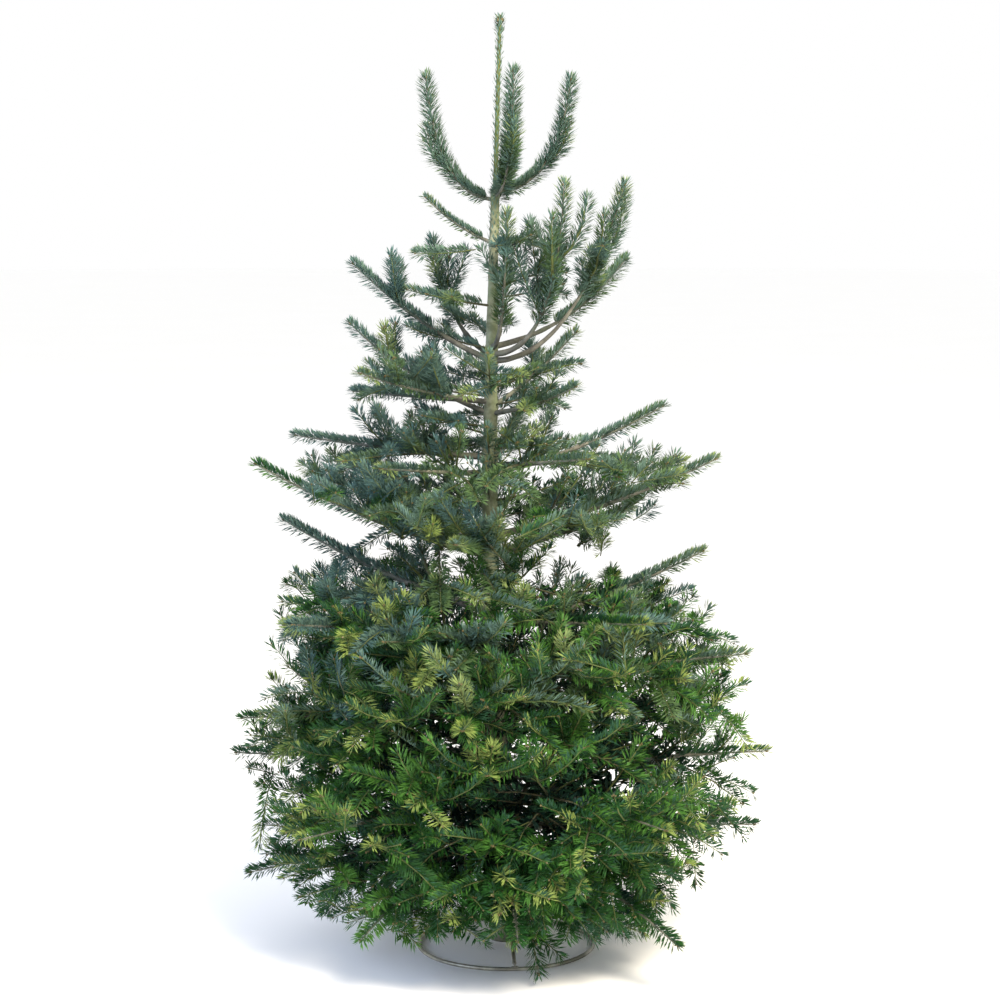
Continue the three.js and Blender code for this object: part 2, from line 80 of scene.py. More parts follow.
# %% Helper: a piece from arrays
def add_piece(name, points, triangles, materials, which=None, smooth=False):
    """A mesh of triangles. Its points are FOOT_PLACE + points, in metres, and which gives each triangle's
    place in the list of materials."""
    mesh = bpy.data.meshes.new(name)
    mesh.vertices.add(len(points))
    mesh.vertices.foreach_set("co", ((points + FOOT_PLACE) / 1000).astype(np.float32).ravel())
    mesh.loops.add(triangles.size)
    mesh.loops.foreach_set("vertex_index", triangles.astype(np.int32).ravel())
    mesh.polygons.add(len(triangles))
    mesh.polygons.foreach_set("loop_start", np.arange(0, triangles.size, 3, dtype=np.int32))
    for material in materials:
        mesh.materials.append(material)
    if which is not None:
        mesh.polygons.foreach_set("material_index", which.astype(np.int32))
    mesh.polygons.foreach_set("use_smooth", np.full(len(triangles), smooth))
    mesh.update(calc_edges=True)
    mesh.validate()
    piece = new_object(name, mesh)
    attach(piece, "root")
    print(f"{name}: {len(triangles)} triangles")
    return piece


def unit(vectors):
    """Each vector divided by its own length."""
    return vectors / np.maximum(np.linalg.norm(vectors, axis=-1, keepdims=True), 1e-9)


def smoothstep(value, low, high):
    """0 up to low, 1 from high, and s * s * (3 - 2s) between them."""
    s = np.clip((value - low) / (high - low), 0, 1)
    return s * s * (3 - 2 * s)


def numbered(counts):
    """For rows dealt out to items by counts: each row's item, and its number among that item's rows."""
    item = np.repeat(np.arange(len(counts)), counts)
    return item, np.arange(len(item)) - (np.cumsum(counts) - counts)[item]


def chance(seed):
    """A repeatable number from 0 to 1: the fraction of 43758.5453 * sin(12.9898 seed + 4.1414)."""
    wave = np.sin(np.asarray(seed, float) * 12.9898 + 4.1414) * 43758.5453
    return wave - np.floor(wave)


print("chances 1 to 3:", chance([1, 2, 3]).round(2))

# %% [markdown]
# ## Colours and nodes
# Colours are written as the eye sees them, in sRGB hex, and Blender wants them linear. One helper adds a node
# with its settings and links, and three more hold what the materials share: where a pattern is placed, spots
# of two colours, and a fine bump. A pattern's size is given in millimetres.

# %% Helpers: colour, node and patterns
def linear(hex_colour):
    """sRGB to linear light: v / 12.92 for dark values, and otherwise ((v + 0.055) / 1.055) ** 2.4."""
    value = np.array([int(hex_colour[i : i + 2], 16) / 255 for i in (1, 3, 5)])
    value = np.where(value <= 0.04045, value / 12.92, ((value + 0.055) / 1.055) ** 2.4)
    return (*value, 1.0)


def node(tree, kind, **inputs):
    """Adds a node. A name in inputs is a socket, with _ for a space, or a setting of the node. A socket of
    another node is linked, a hex colour is made linear, and any other value is set."""
    made = tree.nodes.new("ShaderNode" + kind)
    for key, value in inputs.items():
        linked = isinstance(value, bpy.types.NodeSocket)
        if hasattr(made, key) and not linked:
            setattr(made, key, value)
            continue
        socket = made.inputs[key.replace("_", " ")]
        if linked:
            tree.links.new(value, socket)
        else:
            socket.default_value = linear(value) if isinstance(value, str) else value
    return made


def new_surface(name):
    """An empty material, its tree, and the Object coordinates that patterns are placed by."""
    material = bpy.data.materials.new(name)
    material.use_nodes = True
    material.node_tree.nodes.clear()
    return material, material.node_tree, node(material.node_tree, "TexCoord").outputs["Object"]


def finished(material, **inputs):
    """The material, with a Principled shader that has these inputs."""
    shader = node(material.node_tree, "BsdfPrincipled", **inputs)
    node(material.node_tree, "OutputMaterial", Surface=shader.outputs["BSDF"])
    return material


def spots(tree, place, size, detail, edges, first, second, most=1.0):
    """Noise of about size mm as a blend of two colours: first where it is below the lower edge, and above the
    upper edge a share most of second."""
    noise = node(tree, "TexNoise", Vector=place, Scale=1000 / size, Detail=detail)
    share = node(tree, "MapRange", Value=noise.outputs["Fac"], From_Min=edges[0], From_Max=edges[1],
                 To_Max=most)
    blend = node(tree, "Mix", data_type="RGBA", Factor=share.outputs["Result"], A=first, B=second)
    return blend.outputs["Result"]


def fine_bump(tree, place, size, detail, strength, depth):
    """A bump of noise, with grains of size mm that stand out by depth mm."""
    grains = node(tree, "TexNoise", Vector=place, Scale=1000 / size, Detail=detail)
    bump = node(tree, "Bump", Height=grains.outputs["Fac"], Strength=strength, Distance=depth / 1000)
    return bump.outputs["Normal"]


print("half grey is", round(linear("#808080")[0], 3), "in linear light")

# %% [markdown]
# ## The trunk's line
# The trunk is a pole with one even taper up to its youngest whorl, where a much slimmer leader of one summer
# goes on. It leans and bows a little, as a real one does, so its middle is a curve over the height.

# %% The trunk's middle line and radius
TREE_HEIGHT, TOP_LEAN, TRUNK_BOW, UPRIGHT_FOOT = 1850, 12, 28, 650
FOOT_HEIGHT, FOOT_RADIUS, LEADER_FOOT = 17.4, 26, 1508
RADIUS_BELOW_LEADER, LEADER_RADIUS, LEADER_TIP_RADIUS = 8, 4.8, 3.4


def trunk_middle(height):
    """x = -12 s - 28 sin(pi s^0.7) * smoothstep(height, 0, 650), where s = height / 1850."""
    share = height / TREE_HEIGHT
    bow = np.sin(np.pi * share**0.7) * smoothstep(height, 0, UPRIGHT_FOOT)
    return np.stack([-TOP_LEAN * share - TRUNK_BOW * bow, 0 * height, height], -1)


def trunk_radius(height):
    """26 mm at the foot to 8 mm below the leader, along share ** 0.85, then 4.8 mm to 3.4 mm."""
    low = np.clip((height - FOOT_HEIGHT) / (LEADER_FOOT - FOOT_HEIGHT), 0, 1)
    high = np.clip((height - LEADER_FOOT) / (TREE_HEIGHT - LEADER_FOOT), 0, 1)
    pole = FOOT_RADIUS + (RADIUS_BELOW_LEADER - FOOT_RADIUS) * low**0.85
    leader = LEADER_RADIUS + (LEADER_TIP_RADIUS - LEADER_RADIUS) * high
    return np.where(height <= LEADER_FOOT, pole, leader)


print("radius at breast height", round(float(trunk_radius(np.array(1300.0))), 1), "mm")

# %% [markdown]
# ## The whorls
# One line per bough: its compass direction, how far it reaches out and how far its tip rises. The bends say
# how the arc gets there: a bough that goes out first and then turns up has its bend far out and low. Near
# the top the boughs sweep upright, in the middle they stand out level, and the lowest hang.

# %% The table of boughs
# tier: height on the trunk, radius of its boughs, share of a bough without needles, length of a side shoot
# at the trunk as a share of the bough's, length of its needles. A bough: azimuth in degrees, reach, rise,
# bend out and bend up as shares of them, and its own bare share where that differs.
def tier_of(height, radius, bare, side, needle, *boughs):
    """One tier of the table, by the names of its facts."""
    return dict(height=height, radius=radius, bare=bare, side=side, needle=needle, boughs=boughs)


TIERS = {
    "leader_whorl": tier_of(1500, 3.6, 0.06, 0, 28,
        (184, 134, 236, 0.85, 0.02), (287, 120, 234, 0.9, 0.02), (358, 146, 216, 0.85, 0.02),
        (72, 100, 200, 0.85, 0.02)),
    "twig_below_leader": tier_of(1415, 3.6, 0.15, 0, 19,
        (181, 134, 90, 0.55, 0.3)),
    "upper_whorl": tier_of(1192, 6.5, 0.42, 0.75, 27,
        (350, 262, 344, 0.62, 0.0, 0.6), (318, 186, 330, 0.9, 0.0), (283, 130, 262, 0.85, 0.0),
        (177, 272, 190, 0.5, 0.3), (124, 214, 222, 0.7, 0.1), (36, 335, 168, 0.6, 0.15)),
    "upper_twigs": tier_of(1086, 5.5, 0.28, 0.66, 26,
        (180, 276, 178, 0.55, 0.3), (24, 186, 146, 0.5, 0.35), (214, 300, 68, 0.55, 0.3),
        (318, 220, 64, 0.6, 0.3), (92, 250, 96, 0.6, 0.3), (148, 330, 8, 0.6, 0.3)),
    "middle_whorl": tier_of(972, 7.5, 0.2, 0.6, 27,
        (10, 350, 128, 0.5, 0.25), (78, 350, 92, 0.5, 0.3), (168, 400, 36, 0.5, 0.3),
        (232, 330, 36, 0.5, 0.4), (304, 330, 40, 0.5, 0.4)),
    "waist_whorl": tier_of(812, 9, 0.18, 0.66, 28,
        (185, 460, 186, 0.5, 0.3), (262, 430, 60, 0.5, 0.4), (352, 446, 160, 0.5, 0.3),
        (46, 430, 54, 0.5, 0.4), (118, 440, 96, 0.5, 0.35)),
    "broad_whorl": tier_of(660, 10, 0.16, 0.64, 29,
        (12, 440, 150, 0.5, 0.3), (82, 470, 92, 0.5, 0.4), (164, 436, 168, 0.5, 0.3),
        (222, 490, 70, 0.5, 0.45), (306, 484, 60, 0.5, 0.45)),
    "deep_whorl": tier_of(512, 11, 0.16, 0.64, 29,
        (190, 500, -6, 0.5, 0.6), (264, 506, 34, 0.5, 0.6), (340, 520, 92, 0.5, 0.55),
        (50, 508, 80, 0.5, 0.55), (122, 504, 84, 0.5, 0.55)),
    "wide_whorl": tier_of(374, 12, 0.16, 0.66, 29,
        (6, 546, 36, 0.5, 0.9), (84, 520, 14, 0.5, 1.0), (168, 546, -30, 0.5, 1.0),
        (226, 528, -34, 0.5, 1.0), (306, 528, -30, 0.5, 1.0)),
    "lowest_whorl": tier_of(244, 11, 0.2, 0.7, 29,
        (184, 505, -62, 0.5, 0.05), (236, 470, -118, 0.5, 0.05), (274, 430, -132, 0.5, 0.05),
        (314, 470, -120, 0.5, 0.05), (6, 515, -10, 0.5, 0.05), (92, 500, -96, 0.5, 0.05)),
}
TIER_NAMES = list(TIERS)
print(sum(len(tier["boughs"]) for tier in TIERS.values()), "boughs in", len(TIERS), "tiers")

# %% [markdown]
# ## Limbs as arrays of arcs
# A limb is an arc with three control points, like one Bezier segment: foot, bend and tip. A set of limbs is
# three arrays of points with a few facts beside them, so a thousand limbs cost no more code than one.

# %% Helper: sets of arcs
FOOT_STAGGER, TIP_RADIUS = 2.1, 1.3
UP = np.array([0.0, 0.0, 1.0])


def circle(angle, distance, height):
    """Points at an angle in radians, a distance from the upright axis and a height."""
    return np.stack([distance * np.cos(angle), distance * np.sin(angle), height + 0 * angle], -1)


def full_turn(count):
    """Even angles round a circle, in radians."""
    return np.linspace(0, 2 * np.pi, count, endpoint=False)


def around(azimuth, distance, height):
    """The same with the angle, an azimuth, in degrees."""
    return circle(np.radians(azimuth), distance, height)


def point(limbs, t):
    """(1 - t)^2 foot + 2 t (1 - t) bend + t^2 tip, with one t for each limb."""
    t = t[..., None]
    return (1 - t) ** 2 * limbs["foot"] + 2 * t * (1 - t) * limbs["bend"] + t**2 * limbs["tip"]


def heading(limbs, t):
    """The arc's direction: (1 - t) (bend - foot) + t (tip - bend), at unit length."""
    t = t[..., None]
    return unit((1 - t) * (limbs["bend"] - limbs["foot"]) + t * (limbs["tip"] - limbs["bend"]))


def axes(limbs, t):
    """The arc's direction, its side made square to that, and lift = direction x side."""
    ahead = heading(limbs, t)
    side = unit(limbs["side"] - ahead * (limbs["side"] * ahead).sum(-1, keepdims=True))
    return ahead, side, np.cross(ahead, side)


def limb_radius(limbs, t):
    """From the foot's radius to 1.3 mm at the tip: 1.3 + (radius - 1.3) * (1 - t) ** 1.3."""
    return TIP_RADIUS + (limbs["radius"] - TIP_RADIUS) * (1 - t) ** 1.3


def arcs(foot, to_bend, run, roll=0.0, **facts):
    """A set of limbs, whose bend and tip are given from the foot. side is level and square to a limb's run,
    turned about it by roll degrees, and length is summed over 12 chords."""
    side = np.cross(UP, run)
    upright = np.linalg.norm(side, axis=-1) < 0.05 * np.linalg.norm(run, axis=-1)
    side[upright] = (0, 1, 0)
    side, roll = unit(side), np.radians(roll + np.zeros(len(foot)))[:, None]
    side = side * np.cos(roll) + np.cross(unit(run), side) * np.sin(roll)
    limbs = dict(foot=foot, bend=foot + to_bend, tip=foot + run, side=side, **facts)
    steps = np.stack([point(limbs, np.full(len(foot), t)) for t in np.linspace(0, 1, 13)])
    limbs["length"] = np.linalg.norm(np.diff(steps, axis=0), axis=-1).sum(0)
    return limbs


def pick(limbs, which):
    """Some of a set of limbs."""
    return {fact: values[which] for fact, values in limbs.items()}


def together(*sets):
    """Several sets of limbs as one."""
    return {fact: np.concatenate([limbs[fact] for limbs in sets]) for fact in sets[0]}


print("east is", around(0, 1, 0), "and the back is", around(90, 1, 0).round(3))

# %% [markdown]
# ## The boughs
# Each bough starts at the trunk's middle, and neighbours in a whorl leave at slightly different heights, as
# their feet would crowd each other. A fir bough grows about a hand's width a year, so its length tells its
# age. The upper crown grows faster, and the shoots round the leader are the work of one summer.

# %% Boughs
YEARLY_GROWTH = np.array([300, 160, 112, 108, 106, 108, 112, 114, 114, 110])  # mm of limb a year, by tier


def bough_arcs():
    """tip = foot + (reach along the azimuth, rise), bend = foot + (reach * bend out, rise * bend up), where
    foot is the trunk's middle at the tier's height + (place mod 3 - 1) * 2.1 * radius."""
    rows = [
        (t, p, tier["height"], tier["radius"], *(*row, tier["bare"])[:6])
        for t, tier in enumerate(TIERS.values())
        for p, row in enumerate(tier["boughs"])
    ]
    tier, place, height, radius, azimuth, reach, rise, out, up, bare = np.array(rows, float).T
    foot = trunk_middle(height + (place % 3 - 1) * FOOT_STAGGER * radius)
    limbs = arcs(
        foot,
        around(azimuth, reach * out, rise * up),
        around(azimuth, reach, rise),
        radius=radius, bare=bare, tier=tier.astype(int), seed=1000 * (10 * tier + place), order=0 * place,
    )
    limbs["years"] = np.maximum(np.round(limbs["length"] / YEARLY_GROWTH[limbs["tier"]]), 1)
    return limbs


boughs = bough_arcs()
print("a bough is", boughs["length"].min().round(), "to", boughs["length"].max().round(), "mm long")

# %% [markdown]
# ## The rule for side shoots
# Side shoots leave a limb at each old bud ring, one year's growth apart, at about half a right angle: a pair
# to either side, one on top, and two weaker ones between them. A shoot can't be older than the ring it grew
# from, so near the tip the pairs are short, which makes the pointed outline of a fir spray. Ring after ring
# turns up or down a little, and that gives a flat spray its depth. High in the crown all the shoots turn up
# towards the light, and the lowest ones hang.

# %% Side shoots
SIDE_ANGLE, SIDE_ANGLE_SPREAD, SIDE_LIFTS = 52, 14, np.array([0.4, -0.2])
SIDE_SHARES = np.array([tier["side"] for tier in TIERS.values()])
SIDE_RISES = np.array([0, 0, 0.4, 0.2, 0.1, 0.1, 0, 0, -0.05, -0.42])  # shares of a shoot's length, by tier
LIFT_SHARES = np.array([1, 1, 1, 1, 1, 1, 1, 1.3, 1.6, 1.2])
VIGOURS = np.array([1.0, 1.0, 1.3, 1.25, 1.15, 1.15, 1.15, 1.25, 1.3, 1.25])  # against the boughs' growth
TURNS = np.array([1.0, -1.0, 0.0, 0.5, -0.5])  # how far round a shoot stands: 0 on top, 1 and -1 sideways
UPPER_SHARES = np.array([0, 0, 0.6, 0.45, 0.35, 0.35, 0.5, 0.65, 0.65, 0.7])  # lengths, against the pair's
BETWEEN_SHARE = 0.5
LEAST_SHOOT = np.array([0, 0, 76, 62, 56, 50, 48, 54, 60, 54])  # mm, shorter shoots don't grow
SHADE_LOSS = [0, 0, 0.45, 0.95]  # of the shoots deep in the crown, by order
ROLL_SPREAD = 60  # degrees over which sprays are tilted about their own stem


def side_shoots(stems, order, shortest, thickness, vigour, lift_share):
    """Five on each stem for each of its years but the last: t = 1 - k / years for k = 1, 2, ..., and a little
    up or down the stem by turn. The length is stem length * side * (1.12 - t) + shortest, at most k years'
    growth, times the share of its turn and 0.86 to 1.14. The angle is 52 +- 7 degrees. bend = foot + 0.55
    length * ahead, tip = foot + length * ahead + lift * length upwards. lift is that of its ring, 0.4 or
    -0.2, plus the tier's rise and up to 0.15 either way. Where a tier's shoots rise they rise most on the
    sunny side, 0.6 + 0.4 tanh(x / 60 mm). More than 130 mm inside the crown some, by order, have died."""
    count = (len(TURNS) * (stems["years"] - 1)).astype(int)
    which, nth = numbered(count)
    stem = pick(stems, which)
    age, turn = 1 + nth // len(TURNS), TURNS[nth % len(TURNS)]
    ring = stem["years"] - age
    t = 1 - age / stem["years"] + 0.05 * turn * (chance(stem["seed"] + ring) - 0.2)
    shares = np.choose((2 * np.abs(turn)).astype(int), [UPPER_SHARES[stem["tier"]], BETWEEN_SHARE, 1])
    grows = (t > stem["bare"]) & (SIDE_SHARES[stem["tier"]] > 0)
    stem, age, turn, ring, t, shares = pick(stem, grows), *[v[grows] for v in (age, turn, ring, t, shares)]
    t = np.maximum(t, stem["bare"] + 0.04)
    tier, seed = stem["tier"], stem["seed"]

    length = stem["length"] * SIDE_SHARES[tier] * (1.12 - t) + shortest
    length = np.minimum(length, vigour * VIGOURS[tier] * age * YEARLY_GROWTH[tier])
    length *= shares * (0.86 + 0.28 * chance(seed + 7 * ring + turn))
    angle = np.radians(SIDE_ANGLE + SIDE_ANGLE_SPREAD * (chance(seed + 3 * ring + turn) - 0.5))
    sunny = 0.6 + 0.4 * np.tanh(stem["foot"][:, 0] / 60)
    lift = SIDE_LIFTS[ring.astype(int) % 2] * LIFT_SHARES[tier] * lift_share * np.abs(turn)
    lift += SIDE_RISES[tier] * np.where(SIDE_RISES[tier] > 0, sunny, 1)
    lift += 0.3 * (chance(seed + 5 * ring - turn) - 0.5)
    foot = point(stem, t)
    ahead, side, over = axes(stem, t)
    astray = 40 * (1 - np.abs(turn)) * (chance(seed + 11 * ring) - 0.5)
    round_stem = np.radians(90 - 90 * turn + astray)
    outwards = side * np.cos(round_stem)[:, None] + over * np.sin(round_stem)[:, None]
    ahead = ahead * np.cos(angle)[:, None] + outwards * np.sin(angle)[:, None]
    shoots = arcs(
        foot,
        ahead * (0.55 * length)[:, None],
        ahead * length[:, None] + UP * (lift * length)[:, None],
        roll=ROLL_SPREAD * (chance(seed + 13 * ring + 3 * turn) - 0.5),
        radius=np.maximum(limb_radius(stem, t) * thickness, TIP_RADIUS + 0.1),
        bare=np.full(len(t), 0.1),
        tier=tier,
        seed=seed + 100 * ring + 10 * turn + 3.7 * order,
        order=np.full(len(t), order),
    )
    shoots["years"] = np.clip(np.round(shoots["length"] / YEARLY_GROWTH[tier]), 1, age)
    shaded = chance(shoots["seed"] + 8.8) < SHADE_LOSS[order] * smoothstep(crown_depth(foot), 130, 260)
    return pick(shoots, (shoots["length"] > LEAST_SHOOT[tier]) & ~shaded)


print("side shoots stand at", SIDE_ANGLE, "degrees to their limb")

# %% Forks near the leader
def forks(stems):
    """Upright boughs near the leader fork, and the prongs turn up beside their tips, 0.31 as long as the
    bough. Those of the leader's whorl fork once, at 0.46 of their length. The tall ones below have two
    prongs, at 0.74 and 0.66, turned by 40 and -50 degrees. A prong goes out by 0.4 or 0.5 of its length to
    its bend, a little further to its tip, and up by 0.25 and 0.95."""
    tier, rise = stems["tier"], (stems["tip"] - stems["foot"])[:, 2]
    leader = tier == TIER_NAMES.index("leader_whorl")
    tall = (tier == TIER_NAMES.index("upper_whorl")) & (rise > 300)
    kinds = ((leader, 0.46, 0, 0.5, 0.52), (tall, 0.74, 40, 0.4, 0.45), (tall, 0.66, -50, 0.4, 0.45))
    prongs = []
    for which, share, turned, bend_out, tip_out in kinds:
        stem = pick(stems, which)
        run, reach = stem["tip"] - stem["foot"], 0.31 * stem["length"]
        azimuth, ones = np.degrees(np.arctan2(run[:, 1], run[:, 0])) + turned, np.ones(len(reach))
        prongs.append(arcs(
            point(stem, share * ones),
            around(azimuth, bend_out * reach, 0.25 * reach),
            around(azimuth, tip_out * reach, 0.95 * reach),
            radius=0.7 * stem["radius"], bare=0.04 * ones, tier=stem["tier"], seed=stem["seed"] + 50,
            order=ones, years=ones,
        ))
    return together(*prongs)


print(len(forks(boughs)["years"]), "prongs")

# %% Twigs between the whorls
TWIGS_IN_GAP = [9, 6, 5, 4, 4, 10, 14, 17]
GOLDEN_ANGLE = 137.5
SPRIG_AZIMUTH, SPRIG_LENGTH, SPRIG_TIP = 285, 285, 25


def twigs_between():
    """Twigs in the gaps between whorls, a golden angle apart: 120 to 180 mm long at the top and 200 to 540 mm
    at the foot, where the crown is wide. They rise by 0.1 to 0.4 of that, but the lowest hang as much. The
    first in each gap, and the first three low down, are strong ones at the front, 24 degrees apart: 150 mm
    long at the top and 440 mm at the foot, rising by 0.55 to 0.12 of that. The lowest gap has two more in
    front. One sinks by 40 mm. The other is the sprig: 285 mm long, at 285 degrees, it hangs down over the
    ring to 25 mm above the floor."""
    heights = np.array([tier["height"] for tier in TIERS.values()], float)
    gap, in_gap = numbered(TWIGS_IN_GAP)
    tier, nth = gap + 2, np.arange(len(gap))
    low = smoothstep(-heights[tier], -900, -500)
    lowest = tier == len(heights) - 1
    front = (in_gap == 0) | ((in_gap < 3 + 2 * lowest) & (low > 0.5))
    share = np.where(front & (low > 0.5), (in_gap % 3 + 0.5) / 3, chance(nth + 0.7))
    foot = trunk_middle(heights[tier] + (heights[tier - 1] - heights[tier]) * share)
    length = 120 + 80 * low + (60 + 280 * low) * chance(nth + 0.5)
    length = np.where(front, 150 + 290 * low, length)
    azimuth = np.where(front, 268 + 24 * np.choose(in_gap % 3, [0, 1, -1]),
                       268 + GOLDEN_ANGLE * in_gap + 31 * tier)
    rise = (0.1 + 0.3 * chance(nth + 9.1)) * np.where(lowest, -1, 1)
    rise = length * np.where(front, 0.55 - 0.43 * low, rise)
    rise[lowest & (in_gap == 3)] = -40
    hanging = lowest & (in_gap == 4)
    azimuth[hanging], length[hanging] = SPRIG_AZIMUTH, SPRIG_LENGTH
    rise[hanging] = SPRIG_TIP - foot[hanging, 2]
    twigs = arcs(
        foot,
        around(azimuth, length * 0.55, rise * 0.35),
        around(azimuth, length, rise),
        roll=ROLL_SPREAD * (chance(nth + 4.2) - 0.5),
        radius=3.0 + 2.0 * low,
        bare=np.full(len(nth), 0.14),
        tier=tier,
        seed=90000.0 + 10 * nth,
        order=np.full(len(nth), 1.0),
    )
    twigs["years"] = np.maximum(np.round(twigs["length"] / YEARLY_GROWTH[tier] * 1.3), 1)
    return twigs


print(sum(TWIGS_IN_GAP), "twigs between the whorls")

# %% The crown's outline
# The crown is sheared, and lopsided. Each row: height, and how far side shoots reach to the left and right.
OUTLINE = np.array([
    (0, 270, 280), (60, 325, 320), (92, 370, 370), (195, 495, 430), (298, 515, 530), (399, 515, 545),
    (502, 480, 515), (602, 415, 495), (703, 500, 440), (753, 430, 280), (780, 300, 170), (803, 220, 150),
    (830, 200, 270), (853, 160, 290), (903, 330, 370), (953, 430, 425), (1002, 350, 400), (1027, 200, 260),
    (1052, 220, 190), (1075, 290, 160), (1101, 280, 160), (1150, 290, 200), (1199, 260, 180),
    (1248, 215, 190), (1297, 225, 225), (1346, 260, 270), (1395, 285, 280), (1425, 90, 240),
    (1450, 40, 110), (1500, 20, 20), (1850, 20, 20)])


def crown_reach(place):
    """The outline's reach at a place: left + (right - left) * (1 + cos azimuth) / 2, each interpolated
    between the rows of heights."""
    left, right = [np.interp(place[:, 2], OUTLINE[:, 0], OUTLINE[:, side]) for side in (1, 2)]
    return left + (right - left) * (1 + place[:, 0] / np.maximum(np.hypot(place[:, 0], place[:, 1]), 1)) / 2


def crown_depth(place):
    """How far inside the outline a place is."""
    return crown_reach(place) - np.hypot(place[:, 0], place[:, 1])


FLOOR_CLEARANCE, CLEARANCE_IN_FRONT = 14, 0.25
SPRIG_X, SPRIG_HALF_WIDTH = 85, 28  # where one sprig hangs low in front


def inside_outline(limbs):
    """The limbs whose tips lie within the crown's outline and clear of the floor: 14 mm, and 0.25 mm more for
    each mm in front of the trunk, but not where the sprig hangs."""
    tip = limbs["tip"]
    hanging = np.abs(tip[:, 0] - SPRIG_X) < SPRIG_HALF_WIDTH
    in_front = np.where(hanging, 0, CLEARANCE_IN_FRONT * np.maximum(-tip[:, 1], 0))
    radius = np.hypot(*(tip - trunk_middle(np.clip(tip[:, 2], 0, TREE_HEIGHT)))[:, :2].T)
    return pick(limbs, (radius < crown_reach(tip)) & (tip[:, 2] > FLOOR_CLEARANCE + in_front))


print("the crown reaches", OUTLINE[:, 1].max(), "mm to the left and", OUTLINE[:, 2].max(), "mm to the right")

# %% Grow the limbs
side_limbs = together(side_shoots(boughs, 1, 50, 0.62, 0.95, 1.0), twigs_between())
twigs_of_sides = side_shoots(side_limbs, 2, 30, 0.7, 0.9, 0.7)
last_twigs = side_shoots(twigs_of_sides, 3, 24, 0.8, 0.85, 0.5)
shoots = together(inside_outline(together(side_limbs, twigs_of_sides, last_twigs)), forks(boughs))
limbs = together(boughs, shoots)
print(len(shoots["years"]), "side shoots,", round(limbs["length"].sum() / 1000), "m of limbs in all")

# %% [markdown]
# ## Needle materials
# A fir needle has a waxy skin: fairly glossy on top and, underneath, pale bands of wax that turn it blue
# grey. The colour of the top depends on the spray: this year's growth is yellow green, older sprays are
# deeper, and the upper crown is greyer than the sheltered foot. Some of it is painted light: deep green far
# inside the crown is a painted shade, more bluish sprays on the left are a painted cool shade, and the pale
# tips of the outer sprays are partly a painted highlight. As these colours belong to whole sprays, each is a
# material of its own, dealt out by spray, and only a faint mottling is drawn inside it.

# %% Needle materials
MOTTLE_SIZE = 6  # mm, about a quarter of a needle


def waxy_needle(name, colour, darker, roughness):
    """Waxy leaf skin: dielectric, IOR 1.42, with a mottling of two close greens."""
    material, tree, place = new_surface("needle_" + name)
    mottled = spots(tree, place, MOTTLE_SIZE, 1.0, (0.35, 0.65), darker, colour)
    return finished(material, Base_Color=mottled, Roughness=roughness, IOR=1.42, Specular_IOR_Level=0.3)


# Tops first, and then the undersides with their bands of wax, for the greener and for the greyer tops.
NEEDLE_SKINS = [waxy_needle(*skin) for skin in (
    # New growth, and olive in grey sprays, is partly a painted highlight on the outer sprays.
    ("new_growth", "#7f914c", "#6b7d3e", 0.55),
    ("leaf_green", "#426e2a", "#355d21", 0.55),
    ("mid_green", "#214e1b", "#193e17", 0.55),
    # Deep green is the colour of old sprays, and far inside the crown a painted shade.
    ("deep_green_and_painted_shade", "#112d22", "#0c231b", 0.55),
    # Blue green and grey blue are a random tone, and towards the left a painted cool shade.
    ("blue_green", "#264d44", "#1e4039", 0.55),
    ("grey_green", "#4c653c", "#3c5332", 0.6),
    ("grey_blue", "#486663", "#38524f", 0.6),
    ("olive", "#75864f", "#627344", 0.6),
    ("wax_bands_green", "#2f563c", "#264631", 0.6),
    ("wax_bands_pale", "#647e70", "#526b5e", 0.6),
)]
NEW_GROWTH, LEAF, MID, DEEP_AND_SHADE, BLUE_GREEN, GREY_GREEN, GREY_BLUE, OLIVE, BANDS, PALE_BANDS = range(10)
print(len(NEEDLE_SKINS), "needle greens")

# %% Which green a spray has
GREY_FROM, GREY_TO = 320, 1050  # mm up


def spray_shade(place, age, seed, to_end, depth):
    """A spray's green from its place, its age in years and three chances for each spray: sort, kind and
    bright. It is greyish when sort < smoothstep(height, 320, 1050), and the share of bluish ones grows
    towards the left, most of all high up: beyond a few at random, that blue is a painted cool shade. The last
    few centimetres of a sunny spray, one near the outline, are new growth, which is scarcer near the floor;
    their pale green is partly a painted highlight on the outer sprays. The rest of a green spray is leaf
    green where it is young, then mid and deep green. Far inside the crown all are deep green, a painted
    shade."""
    sort, kind, bright = chance(seed + 0.31), chance(seed + 1.7), chance(seed + 2.9)
    height = place[:, 2]
    greyish = sort < smoothstep(height, GREY_FROM, GREY_TO)
    # Towards the left more sprays are bluish: a painted cool shade.
    left = smoothstep(-place[:, 0] - 110 * smoothstep(-height, -1150, -850), 0, 190)
    bluish = (kind < (0.12 + 0.7 * left) * (0.3 + 0.7 * smoothstep(height, 300, 800))) & (height < 1450)
    # Far inside the crown, deep green is a painted shade.
    shaded = depth > 180 + 40 * bright + 120 * smoothstep(height, 600, 900)
    # Pale tips only near the outline: new growth, and partly a painted highlight.
    sunny = bright < 0.55 * smoothstep(-depth, -160, -20) * (0.3 + 0.7 * smoothstep(height, 120, 330))
    tip = sunny & (to_end < 26 + 40 * chance(seed + 4.1)) & (age < 1)
    young = (age < 1) & (bright < 0.35 + 0.45 * smoothstep(height, 100, 500))
    sorts = [shaded, tip, bluish & (age > 0), young, age < 2]
    green = np.select(sorts, [DEEP_AND_SHADE, NEW_GROWTH, BLUE_GREEN, LEAF, MID], DEEP_AND_SHADE)
    grey = np.select([tip & (~bluish | (kind < 0.4)), bluish], [OLIVE, GREY_BLUE], GREY_GREEN)
    return np.where(greyish & ~shaded, grey, green)


print("grey sprays start", GREY_FROM, "mm up and are all there is from", GREY_TO, "mm")

